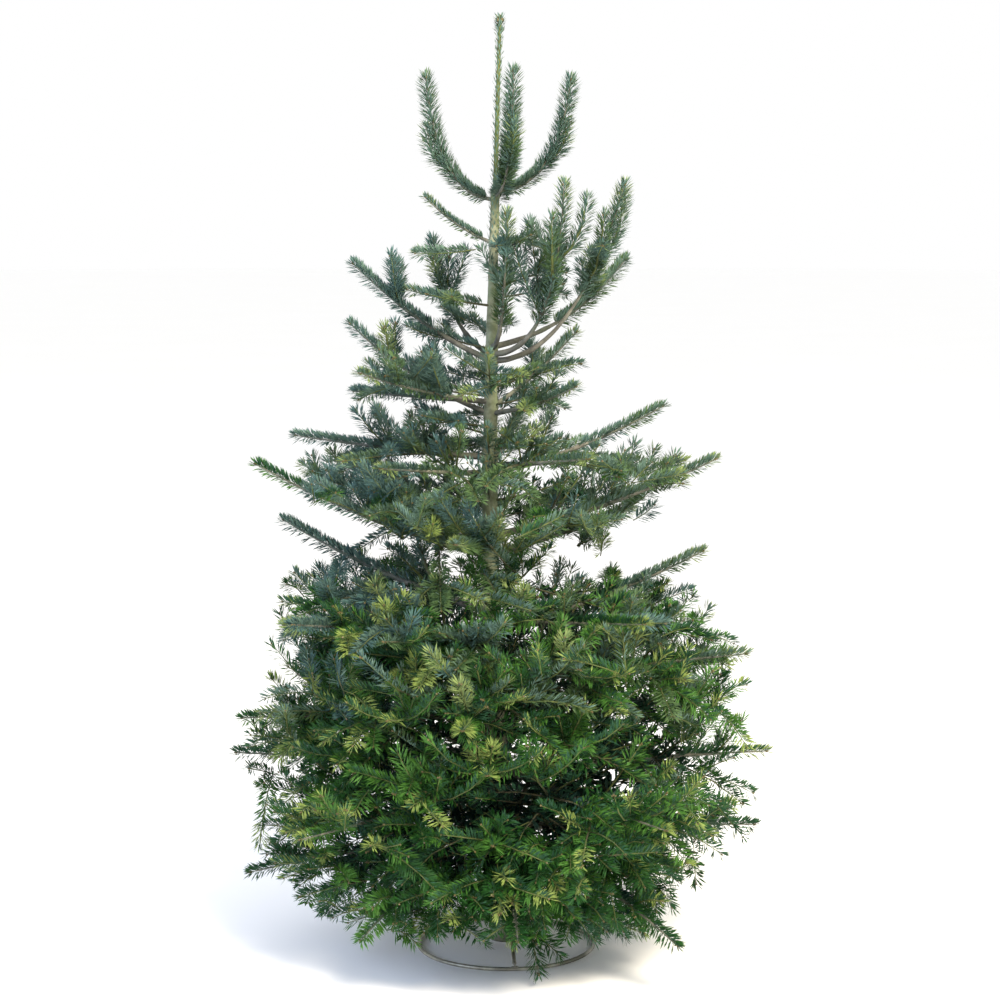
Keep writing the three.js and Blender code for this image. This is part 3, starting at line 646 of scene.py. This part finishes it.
# %% [markdown]
# ## The needles
# Needles grow from all round a twig. On a fir's level shoots they turn away from the underside, so most
# stand to both sides and the rest fill the space above, leaning forward. On upright shoots they stay all
# round. A needle is a flat kite with a ridge: two faces on top and two underneath, the fewest that close. It
# is drawn wider than life, most of all in the shade, because fewer needles then cover the same twig.

# %% Where the needles are
NEEDLE_STEPS = np.array([0.42, 0.6, 0.42, 0.55, 0.55, 0.56, 0.52, 0.7, 0.88, 0.73])  # mm between needles
NEEDLE_WIDTH, NEEDLE_RIDGE, TURN_POWER = 2.9, 0.4, 1.1
rng = np.random.default_rng(7)


def needle_stations(limbs):
    """For each limb, needles a step apart from its bare share to its tip, and 1.8 times as many on the thick
    main boughs. The older the wood, the more have dropped, and in the shade more than 110 mm inside the crown
    up to 0.8 of the others too. turn is sign(u) |u| ** 1.1, with u even from -1 to 1: 0 is on top, and 1 and
    -1 are low at either side."""
    count = limbs["length"] * (1 - limbs["bare"]) / NEEDLE_STEPS[limbs["tier"]]
    count = (count * np.where(limbs["order"] == 0, 1.8, 1)).astype(int)
    which, nth = numbered(count)
    bare = limbs["bare"][which]
    t = bare + (1 - bare) * (nth + rng.uniform(0.1, 0.9, len(nth))) / count[which]
    age = np.floor((1 - t) * limbs["years"][which])
    depth = crown_depth(point(pick(limbs, which), t))
    share = np.select([age < 2, age < 3, age < 4], [1.0, 0.75, 0.5], 0.35)
    kept = rng.random(len(t)) < share * (1 - 0.8 * smoothstep(depth, 110, 240))
    even = rng.uniform(-1, 1, kept.sum())
    return which[kept], t[kept], age[kept], np.sign(even) * np.abs(even) ** TURN_POWER


which, t, age, turn = needle_stations(limbs)
print(len(t), "needles")

# %% How a needle stands
def needle_frames(limbs, which, t, turn):
    """A needle's foot, direction, width direction and length, its limb, and how far it is from the limb's
    end. direction = cos a * heading + sin a * (cos b *
    side + sin b * lift): a is 46 degrees on top and 64 at the sides, and 0.6 of that at the shoot's end. b is
    90 - 132 turn degrees, so only the underside is parted. On upright shoots b goes all round and a is 54.
    The length is the tier's, times 0.8 on top and 1 at the sides, and 0.78 of that at the shoot's end."""
    limb = pick(limbs, which)
    ahead, side, lift = axes(limb, t)
    count = len(t)
    to_end = (1 - t) * limb["length"]
    upright = smoothstep(np.abs(ahead[:, 2]), 0.55, 0.85)
    level = np.abs(turn)
    a = (46 + 18 * level) * (1 - upright) + 54 * upright + rng.normal(0, 6, count)
    a = np.radians(a * (0.6 + 0.4 * smoothstep(to_end, 0, 18)))[:, None]
    all_round = np.sign(turn) * level ** (1 / TURN_POWER) * 180
    b = np.radians(90 - (132 * turn * (1 - upright) + all_round * upright))[:, None]
    outwards = np.cos(b) * side + np.sin(b) * lift
    direction = unit(np.cos(a) * ahead + np.sin(a) * outwards)
    facing_ahead = np.maximum(upright, 0.6 * (1 - level))[:, None]
    face = unit(lift * (1 - facing_ahead) + ahead * facing_ahead + rng.normal(0, 0.16, (count, 3)))
    width = unit(np.cross(direction, face))
    foot = point(limb, t) + outwards * (limb_radius(limb, t) * 0.7)[:, None]
    needle = np.array([tier["needle"] for tier in TIERS.values()])[limb["tier"]]
    length = needle * (0.8 + 0.2 * np.maximum(level, upright)) * rng.uniform(0.85, 1.12, count)
    length *= 0.78 + 0.22 * smoothstep(to_end, 0, 16)
    return foot, direction, width, length, limb, to_end


foot, direction, width, length, limb, to_end = needle_frames(limbs, which, t, turn)
tips = foot + direction * length[:, None]
from_trunk = np.linalg.norm((tips - trunk_middle(tips[:, 2]))[:, :2], axis=-1)
fits = (tips[:, 2] > 3) & (from_trunk > trunk_radius(np.clip(tips[:, 2], 0, TREE_HEIGHT)) + 1)
print((~fits).sum(), "needles would touch the trunk or the floor and are left out")

# %% Needle meshes, one for each tier
NEEDLE_FACES = np.array([[0, 2, 3], [0, 3, 1], [0, 1, 2], [1, 3, 2]])  # foot, left, right, tip


def needle_mesh(name, foot, direction, width, length, shade, broad):
    """Kites: foot, left and right at 0.6 of the length, half a width to each side and a ridge's height down,
    and tip. The first two faces are the top."""
    up = np.cross(width, direction)
    width = width * np.reshape(broad, (-1, 1))
    middle = foot + direction * (0.6 * length)[:, None] - up * NEEDLE_RIDGE
    corners = np.stack([foot, middle - width / 2, middle + width / 2, foot + direction * length[:, None]], 1)
    faces = NEEDLE_FACES[None] + 4 * np.arange(len(foot))[:, None, None]
    greyer = np.isin(shade, (BLUE_GREEN, GREY_GREEN, GREY_BLUE, OLIVE))
    under = np.where(greyer, PALE_BANDS, BANDS)
    skins = np.stack([shade, shade, under, under], 1)
    return add_piece(name, corners.reshape(-1, 3), faces.reshape(-1, 3), NEEDLE_SKINS, skins.ravel())


middle = point(limb, np.round(t * limb["years"]) / limb["years"])
depth = crown_depth(foot)
shade = spray_shade(middle, age, limb["seed"] + age, to_end, depth)
low = smoothstep(-foot[:, 2], -650, -400)
# Fewer and broader needles do in the shade, most of all low down.
broad = NEEDLE_WIDTH * (1 + (0.6 + 1.4 * low) * smoothstep(depth, 110, 280))
facts = dict(foot=foot, direction=direction, width=width, length=length, shade=shade, broad=broad)
for number, tier_name in enumerate(TIER_NAMES):
    needles = needle_mesh("needles_" + tier_name, **pick(facts, fits & (limb["tier"] == number)))
    masses = [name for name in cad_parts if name.startswith(tier_name) and not name.endswith("_bough")]
    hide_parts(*masses)

# %% [markdown]
# ## Bark
# A young fir's bark is smooth and grey, with a greenish film, resin blisters and a wrinkled collar round
# each bough. Relief that casts its own shadow is made in the mesh, by pushing the pole's surface out, and
# the fine grain is left to a bump in the material.

# %% Bark materials
BARK_PATCH, ALGAE_PATCH, GRAIN_SIZE = 1000 / 55, 1000 / 24, 1000 / 650  # mm, about 18, 42 and 1.5


def smooth_bark(name, pale, dark, film, film_share):
    """Smooth fir bark: matt, with patches, a film of algae, and a fine grain that runs across."""
    material, tree, place = new_surface(name)
    patches = spots(tree, place, BARK_PATCH, 4.0, (0.38, 0.62), dark, pale)
    colour = spots(tree, place, ALGAE_PATCH, 3.0, (0.42, 0.68), patches, film, film_share)
    flattened = node(tree, "Mapping", Vector=place, Scale=(1.0, 1.0, 2.5)).outputs["Vector"]
    grain = fine_bump(tree, flattened, GRAIN_SIZE, 2.0, 0.5, 0.8)
    return finished(material, Base_Color=colour, Roughness=0.82, Normal=grain)


TRUNK_BARK = smooth_bark("trunk_bark_smooth", "#8b8f75", "#65694f", "#5f7048", 0.6)
BOUGH_BARK = smooth_bark("bough_bark_smooth", "#737166", "#504f48", "#4d5a40", 0.45)
OLD_TWIG_BARK = smooth_bark("old_twig_bark", "#625f45", "#4d4a34", "#52603a", 0.5)
YOUNG_TWIG_BARK = smooth_bark("young_twig_bark", "#5f6633", "#4b5229", "#566a34", 0.6)
print("bark materials made")

# %% Trunk
TRUNK_RINGS, TRUNK_SIDES, TOP_BUD = 520, 24, 4


def lattice_noise(u, v, seed, across):
    """Chances on whole-number points, eased between them: from 0 to 1, and repeating after across in u."""
    low_u, low_v = np.floor(u), np.floor(v)
    s, r = smoothstep(u - low_u, 0, 1), smoothstep(v - low_v, 0, 1)
    value = lambda du, dv: chance(seed + (low_u + du) % across * 17.3 + (low_v + dv) * 5.11)
    return (value(0, 0) * (1 - s) + value(1, 0) * s) * (1 - r) + (value(0, 1) * (1 - s) + value(1, 1) * s) * r


def grid_faces(rings, sides, endless=False):
    """Two triangles for each cell of a tube's grid, and a fan to close each end. In an endless tube the last
    ring meets the first instead."""
    i, j = np.meshgrid(np.arange(rings - 1 + endless), np.arange(sides), indexing="ij")
    a, b = i * sides + j, i * sides + (j + 1) % sides
    c, d = (b + sides) % (rings * sides), (a + sides) % (rings * sides)
    walls = np.concatenate([np.stack([a, b, c], -1).reshape(-1, 3), np.stack([a, c, d], -1).reshape(-1, 3)])
    if endless:
        return walls
    k = np.arange(1, sides - 1)
    last = (rings - 1) * sides
    ends = [np.stack([0 * k, k + 1, k], -1), np.stack([0 * k + last, last + k, last + k + 1], -1)]
    return np.concatenate([walls, *ends])


def trunk_mesh():
    """Radius = the trunk's + relief + the largest collar. Relief is uneven growth of 0.9 mm in or out, up to
    1 mm of wrinkles and resin blisters of 0.8 mm, and fades out towards the leader. A collar is 0.45 bough
    radii high and falls off as exp(-d^2 / 2 spread^2), where spread is 1.5 bough radii."""
    height = np.linspace(FOOT_HEIGHT, TREE_HEIGHT - TOP_BUD, TRUNK_RINGS)[:, None]
    angle = full_turn(TRUNK_SIDES)[None, :]
    u, bold = angle / (2 * np.pi), smoothstep(trunk_radius(height), 3, 14)
    growth = lattice_noise(u * 5, height / 60, 3, 5) - 0.5
    wrinkles = lattice_noise(u * 4, height / 5, 9, 4) * lattice_noise(u * 3, height / 90, 21, 3)
    blisters = smoothstep(lattice_noise(u * 12, height / 9, 33, 12), 0.78, 0.95)
    relief = (1.8 * growth + 1.0 * wrinkles + 0.8 * blisters) * bold
    run = boughs["bend"] - boughs["foot"]
    facing = np.arctan2(run[:, 1], run[:, 0])
    turn = np.abs((angle[..., None] - facing + np.pi) % (2 * np.pi) - np.pi) * trunk_radius(height)[..., None]
    rise = height[..., None] - boughs["foot"][:, 2] - 0.3 * boughs["radius"]
    spread = 1.5 * boughs["radius"]
    collar = 0.45 * boughs["radius"] * np.exp(-(turn**2 + rise**2) / (2 * spread**2))
    radius = trunk_radius(height) + relief + collar.max(-1)
    middle = trunk_middle(height[:, 0])[:, None]
    return (middle + circle(angle, 1, 0) * radius[..., None]).reshape(-1, 3)


points, faces = trunk_mesh(), grid_faces(TRUNK_RINGS, TRUNK_SIDES)
young = points[faces[:, 0], 2] > LEADER_FOOT
trunk = add_piece("trunk_bark", points, faces, [TRUNK_BARK, YOUNG_TWIG_BARK], young, smooth=True)
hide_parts("trunk")

# %% [markdown]
# ## Boughs and twigs
# Every limb is a tube round its arc. The boughs have eight sides and a swelling at each bud ring, and the
# twigs, which are thinner than a match, have three. The last year's wood is yellow brown and downy, older
# wood is grey.

# %% Limb tubes
def tube_mesh(limbs, rings, sides, swelling):
    """Rings round each arc: arc(t) + r cos(angle) side + r sin(angle) lift, where r is the limb's tapering
    radius, thicker at its foot and by swelling at each year's ring."""
    count = len(limbs["length"])
    t = np.linspace(0, 1, rings)
    stretched = pick(limbs, np.repeat(np.arange(count), rings))
    every_t = np.tile(t, count)
    middle = point(stretched, every_t)
    ahead, side, lift = axes(stretched, every_t)
    radius = limb_radius(stretched, every_t)
    bud_ring = np.cos(2 * np.pi * every_t * stretched["years"])
    radius *= 1 + swelling * np.clip(bud_ring, 0, 1) ** 6 * (every_t > 0.02)
    radius *= np.where(every_t > 0.995, 0.5, 1)
    angle = full_turn(sides)
    u = np.tile(angle / (2 * np.pi), (len(every_t), 1))
    along = (every_t * stretched["length"])[:, None]
    uneven = lattice_noise(u * 3, along / 22 + stretched["seed"][:, None], 5, 3) - 0.5
    radius = radius[:, None] * (1 + 0.22 * uneven * (swelling > 0))
    ring = np.cos(angle)[None, :, None] * side[:, None] + np.sin(angle)[None, :, None] * lift[:, None]
    points = middle[:, None] + ring * radius[..., None]
    faces = grid_faces(rings, sides)
    every = faces[None] + (rings * sides) * np.arange(count)[:, None, None]
    share = t[np.minimum(faces.min(1) // sides, rings - 1)]
    return points.reshape(-1, 3), every.reshape(-1, 3), share


points, faces, share = tube_mesh(boughs, 36, 8, 0.22)
bough_piece = add_piece("bough_bark", points, faces, [BOUGH_BARK], smooth=True)
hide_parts(*[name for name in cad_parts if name.endswith("_bough")])

points, faces, share = tube_mesh(shoots, 4, 3, 0.0)
last_year = (1 - share[None, :]) * shoots["years"][:, None] < 1.2
twig_piece = add_piece("twigs", points, faces, [OLD_TWIG_BARK, YOUNG_TWIG_BARK], last_year.ravel(),
                       smooth=True)

# %% [markdown]
# ## Buds and the leader's scales
# Each shoot ends in a resinous brown bud, the strong ones in a cluster of three, and the leader in a crown
# of six. The leader itself carries only short needles, pressed to its bark.

# %% Buds
BUD_SCALE_SIZE = 1000 / 700  # mm, about 1.4


def bud_scales():
    """Dry, resin-coated bud scales: satin brown."""
    material, tree, place = new_surface("bud_scales_resin")
    brown = spots(tree, place, BUD_SCALE_SIZE, 2.0, (0.4, 0.6), "#4e4229", "#70633a")
    return finished(material, Base_Color=brown, Roughness=0.5)


BUD_CORNERS = np.array([(1, 0, 0), (0, 1, 0), (-1, 0, 0), (0, -1, 0), (0, 0, 1.5), (0, 0, -1.1)], float)
BUD_FACES = np.array([(0, 1, 4), (1, 2, 4), (2, 3, 4), (3, 0, 4), (1, 0, 5), (2, 1, 5), (3, 2, 5), (0, 3, 5)])


def bud_mesh(middle, ahead, radius):
    """Octahedra: corner = middle + radius * (x across + y over + z ahead)."""
    across = unit(np.cross(ahead, UP + 0.01))
    over = np.cross(ahead, across)
    across_over_ahead = np.stack([across, over, ahead], 1)
    corners = np.einsum("kc,ncd->nkd", BUD_CORNERS, across_over_ahead)
    corners = middle[:, None] + radius[:, None, None] * corners
    faces = BUD_FACES[None] + 6 * np.arange(len(middle))[:, None, None]
    return corners.reshape(-1, 3), faces.reshape(-1, 3)


ones = np.ones(len(limbs["years"]))
ahead = heading(limbs, ones)
strong = pick(limbs, limbs["order"] < 2)
strong_ahead = heading(strong, np.ones(len(strong["years"])))
buds = [(limbs["tip"] + ahead, ahead, 2.4 * ones)]
for turn_side in (-1, 1):
    place = strong["tip"] + strong["side"] * 3.2 * turn_side - strong_ahead * 2
    buds.append((place, unit(strong_ahead + 0.5 * turn_side * strong["side"]), np.full(len(place), 2.2)))
crown = trunk_middle(np.full(6, TREE_HEIGHT - 8.0))
crown[1:] += around(72.0 * np.arange(5) + 20, np.full(5, 5.5), -6)
buds.append((crown, unit(UP + 0.4 * (crown - crown[0]) / 5.5), np.array([4.6, 3.8, 3.8, 3.8, 3.8, 3.8])))
points, faces = bud_mesh(*[np.concatenate(column) for column in zip(*buds)])
bud_piece = add_piece("buds", points, faces, [bud_scales()])

# %% The leader's needles
LEADER_NEEDLES, TUFT_NEEDLES, TUFT_DEPTH, LEADER_WIDTH = 330, 70, 34, 2.8
LOWEST_NEEDLE, HIGHEST_NEEDLE = 1395, TREE_HEIGHT - 20
count = LEADER_NEEDLES + TUFT_NEEDLES
nth = np.arange(count)
share = (nth + rng.uniform(0, 1, count)) / LEADER_NEEDLES
tuft = nth >= LEADER_NEEDLES
height = np.where(tuft, TREE_HEIGHT - 8 - TUFT_DEPTH * rng.uniform(0, 1, count),
                  LOWEST_NEEDLE + (HIGHEST_NEEDLE - LOWEST_NEEDLE) * share)
compass = GOLDEN_ANGLE * nth
out = around(compass, np.ones(count), 0.0)
tilt = np.radians(np.where(tuft, rng.uniform(20, 50, count), rng.uniform(14, 42, count)))[:, None]
direction = np.cos(tilt) * UP + np.sin(tilt) * out
place = trunk_middle(height) + out * (trunk_radius(height) * 0.9)[:, None]
length = np.where(tuft, np.minimum(rng.uniform(12, 17, count), TREE_HEIGHT + 4 - height),
                  rng.uniform(10, 17, count))
leader_needles = needle_mesh("needles_leader", place, direction, unit(np.cross(direction, -out)), length,
                             np.where(chance(compass) < 0.3, OLIVE, GREY_GREEN), LEADER_WIDTH)

# %% [markdown]
# ## The stand
# The stand is a ring of 8 mm round steel bar on the floor. Three struts of the same bar are welded to it and
# to a short socket of tube, in which three thumb screws hold the trunk. It could be made from ready-made
# tori and cylinders, but a bar that is carried along a path also gives the struts their slight bow, the
# screws their thread and the welds their ripples. The steel has a dull zinc coat: metallic, but so rough
# that it only shows soft light, and stained where soil and resin have dried on it.

# %% Zinc-coated steel
STAIN_SIZE, CLOUD_SIZE, GRIT_SIZE = 110, 18, 1000 / 900  # mm


def zinc_steel():
    """Dull galvanised bar: metal with the default IOR. Clouds of two greys, olive stains, and a roughness
    from 0.38 to 0.56."""
    material, tree, place = new_surface("zinc_coated_steel_bar")
    zinc = spots(tree, place, CLOUD_SIZE, 4.0, (0.35, 0.65), "#8e8c80", "#b5b3a4")
    stained = spots(tree, place, STAIN_SIZE, 3.0, (0.45, 0.62), zinc, "#55574a", 0.85)
    clouds = node(tree, "TexNoise", Vector=place, Scale=1000 / CLOUD_SIZE, Detail=4.0)
    rough = node(tree, "MapRange", Value=clouds.outputs["Fac"], From_Min=0.3, From_Max=0.7, To_Min=0.56,
                 To_Max=0.38)
    grit = fine_bump(tree, place, GRIT_SIZE, 1.0, 0.3, 0.3)
    return finished(material, Base_Color=stained, Metallic=0.8, Roughness=rough.outputs["Result"],
                    Normal=grit)


STEEL = zinc_steel()
print("zinc-coated steel made")

# %% Helper: a bar carried along a path
def bar_mesh(path, radius, sides=12):
    """At each point of the path a circle of that point's radius, square to the path. Its across is
    direction x up, or direction x (1, 0, 0) on an upright path, and over is across x direction."""
    ahead = unit(np.gradient(path, axis=0))
    reference = UP if abs(ahead[0, 2]) < 0.95 else np.array([1.0, 0.0, 0.0])
    across = unit(np.cross(ahead, reference))
    over = np.cross(across, ahead)
    angle = full_turn(sides)[None, :, None]
    circle = np.cos(angle) * over[:, None] + np.sin(angle) * across[:, None]
    points = path[:, None] + circle * (radius + np.zeros(len(path)))[:, None, None]
    return points.reshape(-1, 3), grid_faces(len(path), sides)


DOME, RIPPLES = 2, 5  # a dome's length in mm, and the ripples on a weld


def rounded(count, radius, run):
    """A radius for each point of a straight bar: radius * sqrt(1 - (1 - d / 2)^2) within d = 2 mm of an end,
    so that the ends are domed."""
    along = np.linspace(0, run, count)
    d = np.clip(np.minimum(along, run - along), 0.06, DOME)
    return radius * np.sqrt(1 - (1 - d / DOME) ** 2)


def joined(shapes):
    """Several (points, triangles) as one."""
    first = np.cumsum([0] + [len(points) for points, _ in shapes[:-1]])
    return np.concatenate([points for points, _ in shapes]), np.concatenate(
        [faces + start for start, (_, faces) in zip(first, shapes)])


def steel_piece(name, shapes, *nodes):
    """Adds a joined steel piece that stands for the named solids."""
    piece = add_piece(name, *joined(shapes), [STEEL], smooth=True)
    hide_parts(*nodes)


def weld(middle, ahead, run, radius):
    """A short bead: a bar whose radius is radius * sin(pi s)^0.4 * (0.85 + 0.15 cos(2 pi 5 s)), with s from 0
    to 1."""
    s = np.linspace(0.015, 0.985, 41)
    path = middle + ahead * ((s - 0.5) * run)[:, None]
    ripples = 0.85 + 0.15 * np.cos(2 * RIPPLES * np.pi * s)
    return bar_mesh(path, radius * np.sin(np.pi * s) ** 0.4 * ripples, 10)


print("bars have domes of", DOME, "mm and welds have", RIPPLES, "ripples")

# %% Ring and struts
BAR_RADIUS, RING_RADIUS = 4.0, 176.0
RING_STEPS, RING_SIDES = 180, 14
STRUT_AZIMUTHS = 275.5 + 120.0 * np.arange(3)
SOCKET_OUTSIDE, STRUT_FOOT_RISE, STRUT_TOP_RISE = 33.5, 9.5, 104.0


def ring_mesh():
    """A torus of 8 mm bar: (R + r cos a) outwards and r + r sin a up, with an unevenness of 0.3 mm."""
    turn = full_turn(RING_STEPS)[:, None]
    a = full_turn(RING_SIDES)[None, :]
    out = RING_RADIUS + BAR_RADIUS * np.cos(a) + 0.3 * np.sin(5 * turn + 1)
    points = circle(turn, out, BAR_RADIUS * (1 + np.sin(a)))
    # Read backwards, so that the faces point outwards.
    return points.reshape(-1, 3), grid_faces(RING_STEPS, RING_SIDES, endless=True)[:, ::-1]


def strut_mesh(azimuth):
    """From the ring's top to the socket's wall, straight but for a sag of 3 sin(pi s) mm."""
    s = np.linspace(0, 1, 25)
    distance = RING_RADIUS + (SOCKET_OUTSIDE + 1.5 - RING_RADIUS) * s
    height = STRUT_FOOT_RISE + (STRUT_TOP_RISE - STRUT_FOOT_RISE) * s - 3 * np.sin(np.pi * s)
    return bar_mesh(around(azimuth + 0 * s, distance, height), rounded(25, BAR_RADIUS, 170.0))


ring_welds = [weld(around(azimuth, RING_RADIUS, 8.2), around(azimuth + 90, 1.0, 0.0), 15, 3.0)
              for azimuth in STRUT_AZIMUTHS]
# The last weld closes the ring, where the bar's two ends meet.
ring_welds.append(weld(around(60.0, RING_RADIUS, 5.2), around(150.0, 1.0, 0.0), 9, 4.6))
top_welds = [weld(around(azimuth, SOCKET_OUTSIDE + 0.6, STRUT_TOP_RISE + rise),
                  around(azimuth + 90, 1.0, 0.0), 13, 2.4)
             for azimuth in STRUT_AZIMUTHS for rise in (-5.0, 4.6)]
steel_piece("ring_bar", [ring_mesh(), *ring_welds], "stand_ring")
steel_piece("strut_bars", [*[strut_mesh(azimuth) for azimuth in STRUT_AZIMUTHS], *top_welds],
            "stand_strut_1", "stand_strut_2", "stand_strut_3")

# %% Socket
SOCKET_BORE, PLATE_BOTTOM, PLATE_TOP, SOCKET_RIM = 31.0, 14.0, 17.0, 126.0


def socket_mesh():
    """A turned shape, with 72 steps round: plate, outer wall, a rim rounded over half the wall and inner
    wall."""
    half_wall = (SOCKET_OUTSIDE - SOCKET_BORE) / 2
    a = np.linspace(0, np.pi, 9)
    rim = np.stack([SOCKET_BORE + half_wall * (1 + np.cos(a)), SOCKET_RIM - half_wall * (1 - np.sin(a))], -1)
    profile = np.concatenate([
        [(0.01, PLATE_BOTTOM), (32.3, PLATE_BOTTOM), (33.2, 14.4)],
        [(SOCKET_OUTSIDE, 15.4), (SOCKET_OUTSIDE, 60.0)],
        rim,
        [(SOCKET_BORE, 60.0), (SOCKET_BORE, PLATE_TOP + 0.1), (0.01, PLATE_TOP)],
    ])
    turn = full_turn(72)
    radius, height = profile[:, :1], profile[:, 1:]
    return circle(turn, radius, height).reshape(-1, 3), grid_faces(len(profile), len(turn))


steel_piece("socket_tube", [socket_mesh()], "stand_socket")

# %% Thumb screws
THREAD_PITCH, SCREW_TIP, SCREW_RISE, SCREW_END, CROSS_BAR_HALF = 1.5, 26.4, 112.0, 57.5, 19.0


def screw_meshes(azimuth):
    """The shank's radius is 3.6 + 0.4 cos(2 pi s / pitch), a thread drawn as rings. A nut of six sides is
    welded outside the wall, and a cross bar with domed ends turns the screw."""
    s = np.linspace(SCREW_TIP, SCREW_END, 180)
    thread = 3.6 + 0.4 * np.cos(2 * np.pi * s / THREAD_PITCH)
    shank = bar_mesh(around(azimuth + 0 * s, s, SCREW_RISE), thread, 14)
    s = np.array([33.4, 33.5, 34.0, 39.5, 40.0, 40.1])
    nut = bar_mesh(around(azimuth + 0 * s, s, SCREW_RISE), np.array([3.0, 7.0, 7.5, 7.5, 7.0, 3.0]), 6)
    s = np.linspace(-CROSS_BAR_HALF, CROSS_BAR_HALF, 60)
    across = around(azimuth + 90, 1.0, 0.0)
    end = around(azimuth, SCREW_END, SCREW_RISE)
    cross_bar = bar_mesh(end + across * s[:, None], rounded(60, 3.6, 2 * CROSS_BAR_HALF))
    return [shank, nut, cross_bar]


screws = [shape for azimuth in STRUT_AZIMUTHS + 60 for shape in screw_meshes(azimuth)]
steel_piece("thumb_screws", screws, "stand_screw_1", "stand_screw_2", "stand_screw_3")

# %% [markdown]
# ## Floor and light
# A pale floor and soft light from all round, as in a photographer's studio: one large lamp above and to the
# right, a weaker and cooler one from the left, and a pale sky that fills the shadows.

# %% Floor
UNEVEN_SIZE = 1250  # mm


def studio_floor():
    """Matt pale paint, with a very faint unevenness."""
    material, tree, place = new_surface("floor_paint")
    pale = spots(tree, place, UNEVEN_SIZE, 2.0, (0, 1), "#fdfdfc", "#ffffff")
    return finished(material, Base_Color=pale, Roughness=0.9)


FLOOR_RADIUS = 60  # metres, so that its far edge melts into the sky
angle = full_turn(64)
floor_mesh = bpy.data.meshes.new("floor")
floor_mesh.from_pydata(circle(angle, FLOOR_RADIUS, 0).tolist(), [], [list(range(len(angle)))])
floor_mesh.materials.append(studio_floor())
floor = new_object("floor", floor_mesh)
print("floor of", FLOOR_RADIUS, "m")

# %% Lights
def lamp(name, azimuth, distance, height, size, power, colour):
    """A square area lamp that looks at the middle of the crown, in metres and watts."""
    data = bpy.data.lights.new(name, "AREA")
    data.size, data.energy, data.color = size, power, linear(colour)[:3]
    made = new_object(name, data)
    place = around(np.array(azimuth), distance, height)
    towards = place - (0, 0, 0.8)
    made.location = place
    made.rotation_euler = (np.arctan2(np.hypot(*towards[:2]), towards[2]), 0,
                           np.arctan2(towards[1], towards[0]) + np.pi / 2)


lamp("key_lamp", 300.0, 3.4, 4.0, 2.0, 460, "#fff2dc")
lamp("fill_lamp", 215.0, 3.8, 2.2, 2.6, 115, "#bcd2ff")
world = bpy.data.worlds.new("studio")
world.use_nodes = True
world.node_tree.nodes["Background"].inputs["Color"].default_value = linear("#ffffff")
world.node_tree.nodes["Background"].inputs["Strength"].default_value = 1.0
bpy.context.scene.world = world
bpy.context.scene.view_settings.view_transform = "Standard"
print("studio lit")
